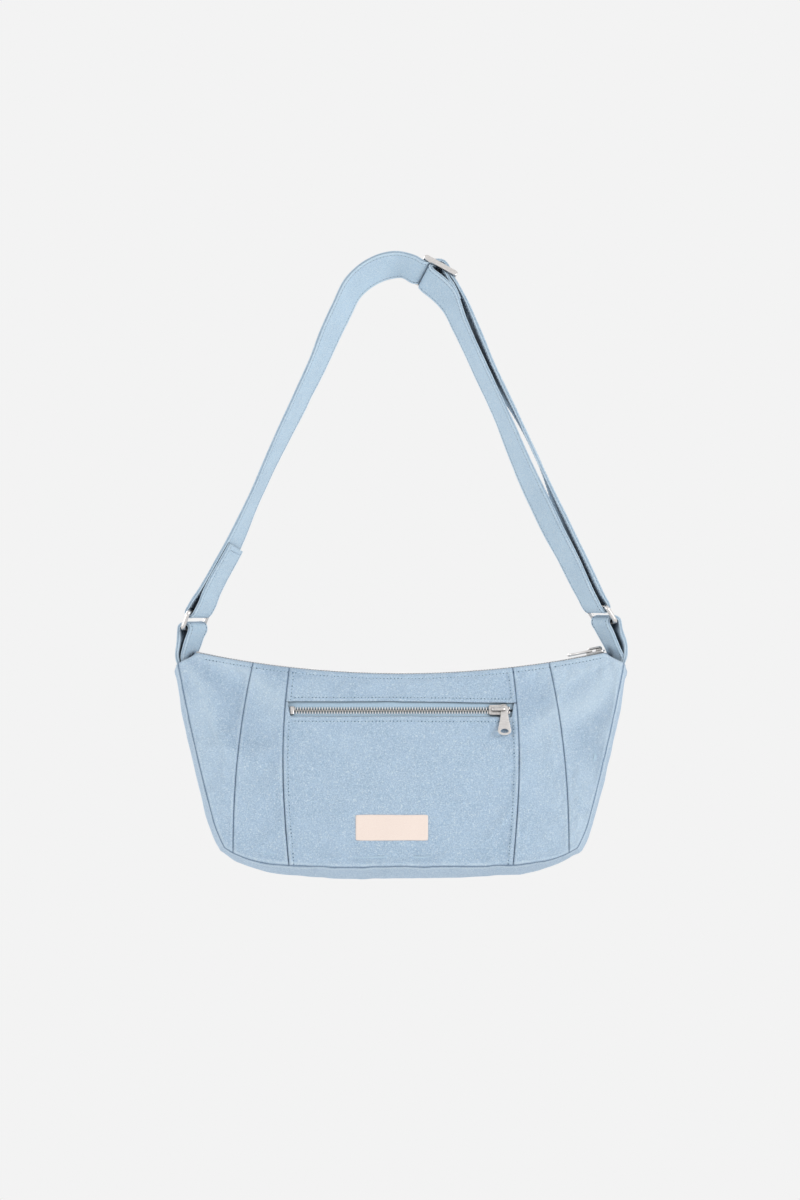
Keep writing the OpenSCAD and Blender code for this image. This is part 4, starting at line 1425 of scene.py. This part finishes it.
    def tapes(self) -> list[Piece]:
        """Makes the two woven tapes, each with the bead that its teeth clamp on.

        Returns:
            The tapes.
        """
        made = []
        along = np.linspace(-184.4, 184.4, 212) if self.mouth else np.linspace(-100.0, 100.0, 120)
        up = np.array([self.at(x).axes[2] for x in along])[:, None, :]
        share = spaced(18, 0.3)
        slack = np.sin(math.pi * share)
        for name, side in self.halves:
            outer = []
            for x in along:
                place = self.at(x)
                reach = self.shape.top_half(x) - 0.9 if self.mouth else 9.6
                across = 1.2 + (reach - 1.2) * share
                bead = 0.2 * bell(across - 2.6, 0.7)
                clear = np.clip((across - 4.6) / 3, 0, 1)
                wave = 0.2 * soft_noise(np.full(18, x), across, 11, 110 + side) * clear
                if self.mouth:
                    # Past the teeth the tapes' ends turn down with the panels' edges
                    end = np.clip((abs(x) - 180) / 3, 0, 1) * (self.shape.edge_z(x) - place.origin[2] - 0.4)
                    hang = -0.8 * slack - 2.6 * share ** 6 + end
                else:
                    hang = -0.25 * slack * clear
                outer.append(place.put(np.stack([0 * across, side * across, 0.3 + bead + hang + wave], -1)))
            outer = np.array(outer)
            tape = make_sheet(f"{self.side.value}_zip_tape_{name}", outer, outer - up * 0.8,
                              Finish.TAPE, "tape")
            made.append(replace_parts(tape, f"{self.side.value}_tape_{name}"))
        return made

    def build(self) -> list[Piece]:
        """Makes the whole zip.

        Returns:
            Its pieces.
        """
        return self.tapes() + self.teeth() + [self.stops(), self.slider(), self.pull()]


# ---- Strap, tabs and label


def smooth_line(points: Array, step: float) -> Array:
    """Runs a smooth line through points whose first three columns are places in mm.

    Args:
        points: the points, (n, m).
        step: distance between the line's points.

    Returns:
        The line's points, (k, m).
    """
    gaps = np.linalg.norm(np.diff(points[:, :3], axis=0), axis=1)
    at = np.concatenate([[0.0], np.cumsum(gaps)])
    slopes = np.gradient(points, at, axis=0)
    walk = np.linspace(0, at[-1], int(at[-1] / step) + 1)
    k = np.clip(np.searchsorted(at, walk, "right") - 1, 0, len(gaps) - 1)
    wide = gaps[k][:, None]
    t = (walk - at[k])[:, None] / wide
    return ((1 + 2 * t) * (1 - t) ** 2 * points[k] + t * (1 - t) ** 2 * wide * slopes[k]
            + t * t * (3 - 2 * t) * points[k + 1] - t * t * (1 - t) * wide * slopes[k + 1])


@dataclass
class Band:
    """A strip of folded canvas, swept along stations of its centre line and its width's way."""

    name: str
    stations: list[Station]
    half: float = 19.0
    thick: float = 3.0
    step: float = 2.2
    wave: float = 0.35
    seed: int = 120

    def __post_init__(self) -> None:
        """Runs the line through the stations."""
        line = smooth_line(np.array([np.concatenate([c, w]) for c, w in self.stations]), self.step)
        self.centre, self.across = line[:, :3], unit(line[:, 3:])
        self.up = unit(np.cross(unit(np.gradient(self.centre, axis=0)), self.across))
        gaps = np.linalg.norm(np.diff(self.centre, axis=0), axis=1)
        self.run = np.concatenate([[0.0], np.cumsum(gaps)])

    def face(self, u: Array, w: Array) -> Array:
        """Gives points of the band.

        Args:
            u: places across it in mm, one for each station or one for all.
            w: heights above its middle in mm.

        Returns:
            The points.
        """
        u, w = np.broadcast_to(u, self.run.shape), np.broadcast_to(w, self.run.shape)
        wide = u * (1 + 0.012 * soft_line(self.run, 27, self.seed))
        far = (np.abs(u) / self.half) ** 3
        flutter = self.wave * far * soft_noise(self.run, np.sign(u) * 9.0, 24, self.seed + 1)
        ripple = 0.12 * soft_noise(self.run, u, 7, self.seed + 2) * np.sign(w)
        lift = w + flutter + ripple
        return self.centre + self.across * wide[:, None] + self.up * lift[:, None]

    def build(self, body: str | None) -> Piece:
        """Makes the band: two faces, with rounded folded edges that meet in a fine groove.

        Args:
            body: the body it rides on, or None.

        Returns:
            The band.
        """
        t, h = self.thick / 2, self.half
        # Its section, across from the left edge and up in shares of half its thickness
        top = [(-h, 0.62), (-h + 0.22, 0.88), (-h + 0.75, 1.0), (-h + 1.9, 1.04), (-h + 2.9, 0.9),
               (-h + 4.0, 1.0), (-h * 0.45, 0.97)]
        top += [(0.0, 0.95)] + [(-u, w) for u, w in reversed(top)]
        ring = [(u, w * t) for u, w in top] + [(h - 0.45, 0.0)] \
            + [(u, -w * t) for u, w in reversed(top)] + [(-h + 0.45, 0.0)]
        points = np.stack([self.face(u, w) for u, w in ring], 1)
        # Painted shade in the groove where the two faces meet and in the grooves of the stitch rows; the
        # rounded edges are paler, partly worn and partly painted highlight
        edge = np.array([0.42 if abs(w) < 0.01 else 0.0 for _, w in ring])
        paling_from_wear_and_light = np.array([0.55 if abs(u) > h - 2.2 and abs(w) > 0.01 else 0.0 for u, w in ring])
        groove = np.array([0.16 if abs(abs(u) - h + 2.9) < 0.1 else 0.0 for u, _ in ring])
        uneven_paling = 0.6 + 0.4 * soft_line(self.run, 12, self.seed + 3)
        marks = {"groove_shade": np.tile(edge + groove, (len(points), 1)).ravel(),
                 "wear_and_highlight": (paling_from_wear_and_light[None, :] * uneven_paling[:, None]).ravel()}
        faces = tube_faces(len(points), len(ring))
        return make_piece(self.name, points.reshape(-1, 3), faces, Finish.STRAP, body, "strap_canvas", marks)

    def stitch(self, rows: Stitching, inset: float = 2.9, crossings: tuple[tuple[float, int], ...] = (),
               faces: tuple[int, ...] = (1, -1)) -> None:
        """Sews along both edges, and across the band where it is asked.

        Args:
            rows: collects the rows.
            inset: distance of the rows from the edges.
            crossings: distances along the band and the face, 1 or -1, of rows across it.
            faces: the faces that are sewn along their edges.
        """
        for u in (-self.half + inset, self.half - inset):
            for way in faces:
                rows.row(self.face(u, way * self.thick / 2 * 0.92), self.up * way)
        for distance, way in crossings:
            k = int(np.argmin(np.abs(self.run - distance)))
            u = np.linspace(-self.half + inset, self.half - inset, 24)[:, None]
            path = self.centre[k] + self.across[k] * u + self.up[k] * way * self.thick / 2
            rows.row(path, np.broadcast_to(self.up[k] * way, path.shape))


STRAP_WIDE = 38.0
UP = np.array([0.0, 0.0, 1.0])


def way_across(dx: float, dz: float) -> Array:
    """Gives the strap's way across from how far its back edge stands from its front one."""
    return np.array([dx, math.sqrt(STRAP_WIDE ** 2 - dx * dx - dz * dz), dz]) / STRAP_WIDE


def square_to(way: Array) -> Array:
    """Gives the level way at right angles to a ring's bar."""
    return np.array([way[1], -way[0], 0.0])


class Strap:
    """The shoulder strap: one long band from its fold on the left ring, through the slide buckle and
    round the right ring, to its sewn end on the buckle's middle bar."""

    # Each ring's bar: its place, its way, and how far the strap leans over it in degrees
    LEFT_BAR, LEFT_WAY, LEFT_LEAN = np.array([-178.34, 0.0, -306.44]), np.array([0.3907, 0.9205, 0]), 28.6
    RIGHT_BAR, RIGHT_WAY, RIGHT_LEAN = np.array([172.38, 0.0, -302.26]), np.array([-0.3907, 0.9205, 0]), 28.0
    # The slide buckle: its middle, its slope to the right and how far its face leans back in degrees
    BUCKLE, BUCKLE_SLOPE, BUCKLE_LEAN = np.array([29.7, 0, -11.3]), 29.0, 31.8
    # The fold round the left bar: up along the strap and out of it, from the run's face to the end's
    FOLD = ((66, -1.55), (48, -1.6), (30, -1.75), (19, -2.3), (10, -3.5), (4, -3.75), (0, -3.65),
            (-2.6, -2.6), (-3.65, 0), (-2.6, 2.6), (0, 3.65), (4, 3.75), (10, 3.5), (19, 2.2), (30, 1.7),
            (48, 1.55), (66, 1.55))
    # The main run, in the values that share() takes
    MAIN = ((-67.8, -61.1, 7.5, -3.6), (-53.5, -41.9, 10.5, -4.9), (-40.5, -25.3, 13, -6),
            (-30.3, -10.8, 14.5, -9), (-23.6, -3.4, 12, -15), (-15.5, 0.7, 9, -19), (-7.4, 2.6, 6, -20.5),
            (-0.8, 2.9, 1, -20.5))
    # Over the buckle's middle bar, in the values that on_buckle() takes
    THROUGH = ((-23, -3.6), (-14.9, -3.6), (-10.5, -1), (-6, 3.9), (0, 6.68), (6, 3.9), (10.5, -1),
               (14.9, -3.6))
    # The two runs down to the right ring twist apart: the outer one stands almost edge on to the front
    OUTER = ((40.4, -25.3, -7, -6), (49.7, -36.9, 1, -6), (58.9, -48.7, 4, -6), (70.2, -62.4, -3, -5.5),
             (81.6, -75.8, -11, -4))
    INNER_DX = (-10, -10, -13, -15.5, -15)
    # Under the outer run and round the middle bar to the strap's end, in the values that on_buckle() takes
    UNDER = ((18, -12.4), (9, -9.3), (2, -7.7), (-4, -6.5), (-7.8, -4.3), (-6.9, -1.6), (-3.2, 1.8), (0, 3.4),
             (2.6, 2.5), (5, 0.2), (8.5, -3.1), (12.5, -6.3), (17, -8.8))

    @staticmethod
    def share(x: float, z: float, dx: float, dz: float) -> Station:
        """Gives a station from shares of the bag's half width and of the strap's height.

        Args:
            x: the front edge's place, in hundredths of the half width.
            z: its height, in hundredths of the strap's height.
            dx: how far the back edge stands to the right of it in mm.
            dz: how far it stands above it in mm.

        Returns:
            The station.
        """
        return np.array([1.99 * x + dx / 2, 0.0, 3.41 * z + dz / 2]), way_across(dx, dz)

    @classmethod
    def on_buckle(cls, x: float, z: float) -> Station:
        """Gives a station in the slide buckle's own frame, x along it and z out of it."""
        slope, lean = math.radians(cls.BUCKLE_SLOPE), math.radians(cls.BUCKLE_LEAN)
        along = np.array([math.cos(slope), 0, -math.sin(slope)])
        out = np.array([math.cos(lean) * math.sin(slope), math.sin(lean), math.cos(lean) * math.cos(slope)])
        return cls.BUCKLE + x * along + z * out, np.cross(out, along)

    def fold(self) -> list[Station]:
        """Gives the stations of the fold round the left ring, from the strap's end up to its run."""
        lean = math.radians(self.LEFT_LEAN)
        up = np.array([math.sin(lean), 0, math.cos(lean)])
        out = math.cos(lean) * square_to(self.LEFT_WAY) - math.sin(lean) * UP
        made = []
        for along, off in reversed(self.FOLD):
            share = min(1.0, max(0.0, along / 67))
            across = self.LEFT_WAY * (1 - share) + way_across(9.6, -6.6) * share
            made.append((self.LEFT_BAR + along * up + off * out, unit(across)))
        return made

    def stations(self) -> list[Station]:
        """Gives all stations, from the sewn fold on the left to the sewn end on the buckle."""
        lean = math.radians(self.RIGHT_LEAN)
        side, up = np.array([math.cos(lean), 0, math.sin(lean)]), np.array([-math.sin(lean), 0, math.cos(lean)])
        around = square_to(self.RIGHT_WAY)
        outer = [self.share(*values) for values in self.OUTER]
        inner = [self.share(x, z, dx, dz) for (x, z, _, dz), dx in zip(self.OUTER, self.INNER_DX)]
        loop = [(self.RIGHT_BAR + 3.65 * (math.cos(a) * around + math.sin(a) * UP), self.RIGHT_WAY)
                for a in np.radians([22, -6, -34, -62, -90, -118, -146])]
        down, back = ((self.RIGHT_BAR + 3.6 * sign * side + 10 * up, self.RIGHT_WAY) for sign in (1, -1))
        return (self.fold() + [self.share(*v) for v in self.MAIN] + [self.on_buckle(*v) for v in self.THROUGH]
                + [self.share(28, -8.6, -9, -9)] + outer + [down] + loop + [back]
                + [(centre - 6.6 * side, across) for centre, across in reversed(inner)]
                + [self.share(28.6, -14.6, -10, -8)] + [self.on_buckle(*v) for v in self.UNDER]
                + [(np.array([47.2, 0, -35.6]), way_across(-9.5, -8.5))])

    def build(self) -> list[Piece]:
        """Makes the strap and its stitches.

        Returns:
            The pieces.
        """
        band = Band("shoulder_strap", self.stations(), seed=121)
        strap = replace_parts(band.build("strap_body"), "strap_left_loop", "strap_left_fold", "strap_main_run",
                            "strap_outer_run", "strap_right_loop", "strap_inner_run", "strap_end_loop")
        rows = Stitching("strap_stitching", "strap_body", "strap_canvas", 3.2, 0.6)
        end = band.run[-1]
        band.stitch(rows, crossings=((4.5, -1), (4.5, 1), (end - 4, 1), (end - 4, -1)))
        return [strap] + rows.make()


@dataclass(frozen=True)
class Buckle:
    """The cast slide buckle: two flat cheeks joined by three bars."""

    long: float = 33.0
    high: float = 4.9
    thick: float = 2.4
    inner_half: float = 19.5
    bar_pitch: float = 14.9

    def build(self) -> list[Piece]:
        """Makes the buckle.

        Returns:
            The buckle as one piece.
        """
        centre, across = Strap.on_buckle(0, 0)
        axes = np.stack([Strap.on_buckle(1, 0)[0] - centre, across, Strap.on_buckle(0, 1)[0] - centre])
        radius = self.high / 2
        turn = np.linspace(-math.pi / 2, math.pi / 2, 9)
        right = [(self.long / 2 - radius + radius * math.cos(a), radius * math.sin(a)) for a in turn]
        outline = right + [(-x, -z) for x, z in right]
        parts = []
        for side in (-1, 1):
            near, far = sorted([side * self.inner_half, side * (self.inner_half + self.thick)])
            cheek, faces = prism(outline, near, far)
            parts.append((cheek[:, [0, 2, 1]], faces))
        reach = self.inner_half + 0.4
        for x in (-self.bar_pitch, 0.0, self.bar_pitch):
            path = np.array([[x, y, 0.0] for y in np.linspace(-reach, reach, 5)])
            parts.append(wire(path, np.full((5, 2), 1.5), np.array([1.0, 0.0, 0.0]), 16))
        verts, faces = join(parts)
        piece = make_piece("cast_slide_buckle", Place(centre, axes).put(verts), faces, Finish.NICKEL,
                           "strap_body", "metal")
        crease(piece)
        return [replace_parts(bevel(piece, 0.55, 3), "slide_buckle")]


@dataclass(frozen=True)
class Tab:
    """A folded canvas tab that holds a ring at one of the bag's top corners."""

    name: str
    node: str
    bar: tuple[float, float, float]
    bar_way: tuple[float, float, float]
    outer: tuple[tuple[float, float, float, float], ...]
    inner: tuple[tuple[float, float, float, float], ...]
    seed: int

    def build(self) -> list[Piece]:
        """Makes the tab and its stitches, which ride on no body.

        Returns:
            The pieces.
        """
        bar, bar_way = np.array(self.bar), np.array(self.bar_way)
        sign = -1.0 if bar[0] < 0 else 1.0
        side = sign * square_to(bar_way)
        # Round the ring's bar the cloth runs in an oval, a little wider than high
        loop = [(bar + (5.5 + 0.6 * math.cos(a)) * math.cos(a) * side + 4.3 * math.sin(a) * UP, bar_way)
                for a in np.radians([-8, 20, 50, 80, 110, 140, 170, 188])]
        outer, inner = ([(np.array([x, 0.0, z]), way_across(dx, dz)) for x, z, dx, dz in layer]
                        for layer in (self.outer, self.inner))
        band = Band(self.name, outer + loop + inner, 17.7, 3.1, 1.2, 0.5, self.seed)
        rows = Stitching(self.name + "_stitching", None, "strap_canvas", 3.2, 0.6)
        band.stitch(rows, faces=(-int(sign),))
        pieces = [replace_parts(band.build(None), self.node)] + rows.make()
        for piece in pieces:
            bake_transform(piece)
        return pieces


TABS = (
    Tab("left_ring_tab", "left_tab", (-183.4, 2.15, -320.4), (0.3907, 0.9205, 0.0),
        ((-190.5, -357, 3, 2), (-191.2, -350, 9, 4), (-190.9, -342, 14, 6), (-189.6, -331, 14.6, 3)),
        ((-182.0, -330, 14.8, 3), (-185.6, -342, 14.7, 7), (-187.2, -350, 9, 5), (-187.2, -357, 3, 2)), 131),
    Tab("right_ring_tab", "right_tab", (180.1, 3.28, -314.7), (-0.3907, 0.9205, 0.0),
        ((189.6, -357, -3, 2), (190.8, -350, -9, 5), (191.4, -343, -13, 7), (191, -334, -14.6, 5),
         (187.2, -323, -14.8, 2)),
        ((179.2, -323, -14.8, 2), (184.4, -334, -14.8, 6), (188.4, -343, -14.9, 9), (188.9, -350, -9, 6),
         (187.5, -357, -3, 2)), 141),
)


@dataclass(frozen=True)
class Label:
    """The sewn satin label, bare, with its edges folded under."""

    cloth: Cloth
    x: float = -8.0
    z: float = -495.0
    wide: float = 63.5
    high: float = 22.5

    def build(self) -> list[Piece]:
        """Makes the label.

        Returns:
            The label as a list of one piece.
        """
        s, t = 2 * spaced(64, 0.3)[None, :] - 1, 2 * spaced(30, 0.3)[:, None] - 1
        # The corners are slightly rounded and the long edges a little uneven
        x = self.x + self.wide / 2 * s * (1 - 0.012 * np.abs(t) ** 14)
        z = self.z + self.high / 2 * t * (1 - 0.03 * np.abs(s) ** 24)
        z = z + 0.2 * soft_noise(x, 0 * s * t, 16, 151) * t
        edge = np.minimum((1 - np.abs(s)) * self.wide / 2, (1 - np.abs(t)) * self.high / 2)
        rise = 0.72 + 0.16 * bell(edge - 1.5, 1.5) - 0.4 * bell(edge, 0.25) + 0.12 * soft_noise(x, z, 11, 152)
        face, out = self.cloth.points(x, z)
        label = make_sheet("sewn_label", face + out * rise[..., None], face + out * 0.02, Finish.SATIN,
                           "label_cloth")
        return [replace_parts(label, "label")]


# ---- Studio


class Studio:
    """The flat, bright product light, the plain backdrop colour and the camera."""

    BACKDROP = "#f3f3f3"
    # In metres: where the camera stands, and the middle of the bag, which the lights face
    EYE = (-0.0009, -7.0, -0.2957)
    TARGET = (0.0, 0.0, -0.28)

    def world(self) -> None:
        """Makes the surroundings: the plain backdrop to the camera, an even white light to the bag."""
        world = bpy.data.worlds.new("studio")
        world.use_nodes = True
        tree = world.node_tree
        tree.nodes.clear()
        ray = add_node(tree, "ShaderNodeLightPath").outputs
        seen = add_math(tree, "MAXIMUM", ray["Is Glossy Ray"],
                        add_math(tree, "MAXIMUM", ray["Is Camera Ray"], ray["Is Transmission Ray"]))
        plain = add_node(tree, "ShaderNodeBackground", {"Color": linear(self.BACKDROP), "Strength": 1.0})
        # To the cloth: an even light, a little stronger from the white table below
        place = add_node(tree, "ShaderNodeTexCoord").outputs["Generated"]
        height = add_node(tree, "ShaderNodeSeparateXYZ", None, {0: place}).outputs["Z"]
        soft = add_node(tree, "ShaderNodeBackground", {"Color": (1, 1, 1, 1)},
                        {"Strength": add_range(tree, height, -0.8, 0.8, 1.12, 0.68)})
        mixed = add_node(tree, "ShaderNodeMixShader", None, {0: seen, 1: soft.outputs[0], 2: plain.outputs[0]})
        add_node(tree, "ShaderNodeOutputWorld", None, {"Surface": mixed.outputs[0]})
        bpy.context.scene.world = world

    def light(self, name: str, place: tuple[float, float, float], size: float, power: float) -> None:
        """Adds a square soft light that faces the bag.

        Args:
            name: the light's name.
            place: its place in metres.
            size: its side in metres.
            power: its power in watts.
        """
        data = bpy.data.lights.new(name, "AREA")
        data.energy, data.size = power, size
        lamp = add_object(name, data)
        lamp.location = place
        lamp.rotation_euler = (Vector(self.TARGET) - Vector(place)).to_track_quat("-Z", "Y").to_euler()

    def camera(self) -> None:
        """Adds the camera, level and straight in front of the bag."""
        data = bpy.data.cameras.new("camera")
        data.sensor_fit, data.sensor_height, data.lens = "VERTICAL", 24.0, 159.0
        camera = add_object("camera", data)
        camera.location, camera.rotation_euler = self.EYE, (math.pi / 2, 0, 0)
        bpy.context.scene.camera = camera

    def build(self) -> None:
        """Sets up the whole studio."""
        self.world()
        self.light("key_light", (1.6, -1.35, 0.25), 0.5, 17.5)
        self.light("fill_light", (-2.4, -1.3, 0.0), 1.1, 11.5)
        self.light("back_light", (-1.6, 2.2, 0.8), 1.2, 24.0)
        self.camera()
        bpy.context.scene.view_settings.view_transform = "Standard"


@dataclass(frozen=True)
class Drape:
    """A short cloth simulation that lets each side's canvas settle between its seams."""

    shape: BagShape
    columns: int = 73
    rows: int = 41
    frames: int = 20
    # The furthest that the simulation moves the cloth in mm
    cap: float = 3.2

    def settle(self, front: bool) -> Array | None:
        """Runs the simulation for one side.

        Args:
            front: which side.
        """
        scene, shape, plain = bpy.context.scene, self.shape, Cloth(self.shape, front)
        s, v = np.linspace(-1, 1, self.columns)[None, :], np.linspace(0, 1, self.rows)[:, None]
        x = shape.side_x(v) * s
        z = shape.edge_z(x) * (1 - v) + shape.base_seam_z(x) * v
        rest = shape.half_depth(x, v)
        uneven = 0.4 * soft_noise(x, z, 30, 161 + front)
        verts = np.stack([x, plain.way * (rest + uneven), z], -1).reshape(-1, 3) * MM
        faces = grid_faces(np.arange(len(verts)).reshape(self.rows, self.columns))
        mesh = bpy.data.meshes.new("drape")
        mesh.from_pydata(verts.tolist(), [], faces.tolist())
        canvas = add_object("drape", mesh)
        held = (np.abs(s) > 0.985) | (v < 0.03) | (v > 0.97)
        for gap in plain.seam_gaps(x, v):
            held = held | (np.abs(gap) < 2.8)
        if front:
            held = held | (np.abs(z - shape.zip_z) < 9) & (np.abs(x) < 100)
        group = canvas.vertex_groups.new(name="seams")
        group.add([int(i) for i in np.flatnonzero(held.ravel())], 1.0, "REPLACE")
        cloth = canvas.modifiers.new("cloth", "CLOTH")
        settings = cloth.settings
        settings.vertex_group_mass, settings.quality, settings.mass = "seams", 6, 0.35
        settings.tension_stiffness = settings.compression_stiffness = 20.0
        settings.bending_stiffness, settings.shrink_min = 0.35, -0.035
        settings.use_pressure, settings.uniform_pressure_force = True, 0.12 if front else -0.12
        cloth.collision_settings.use_collision = False
        cloth.point_cache.frame_start, cloth.point_cache.frame_end = 1, self.frames
        for frame_number in range(1, self.frames + 1):
            scene.frame_set(frame_number)
        moved = canvas.evaluated_get(bpy.context.evaluated_depsgraph_get()).to_mesh()
        places = np.empty(len(moved.vertices) * 3, np.float32)
        moved.vertices.foreach_get("co", places)
        scene.frame_set(1)
        bpy.data.objects.remove(canvas)
        bpy.data.meshes.remove(mesh)
        out = plain.way * places.reshape(self.rows, self.columns, 3)[..., 1] / MM - rest
        log.info("drape %s: moved %.2f to %.2f mm", "front" if front else "back", out.min(), out.max())
        return self.cap * np.tanh(np.nan_to_num(out) / self.cap)


def dress_metal(names: tuple[str, ...]) -> None:
    """Gives parts that are kept as they are their nickel finish.

    Args:
        names: the parts' names.
    """
    for name in names:
        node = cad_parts[name]
        node.data.materials.clear()
        node.data.materials.append(Finish.NICKEL.made)


def main() -> None:
    """Builds the whole picture in order, and notes the sizes."""
    shape = BagShape()
    drape = Drape(shape)
    front, back = Cloth(shape, True, drape.settle(True)), Cloth(shape, False, drape.settle(False))
    panels = Panels(shape, front, back)
    made = panels.build() + panels.stitch()
    made += [Gusset(shape).build()] + Inside(shape).build()
    for side in ZipSide:
        made += Zip(shape, side).build()
    made += Strap().build() + Buckle().build()
    for tab in TABS:
        made += tab.build()
    made += Label(front).build()
    dress_metal(("left_ring", "right_ring"))
    for piece in made:
        log.info("%s: %d vertices", piece.name, len(piece.data.vertices))
    Studio().build()


if __name__ == "__main__":
    logging.basicConfig(level=logging.INFO)
    main()
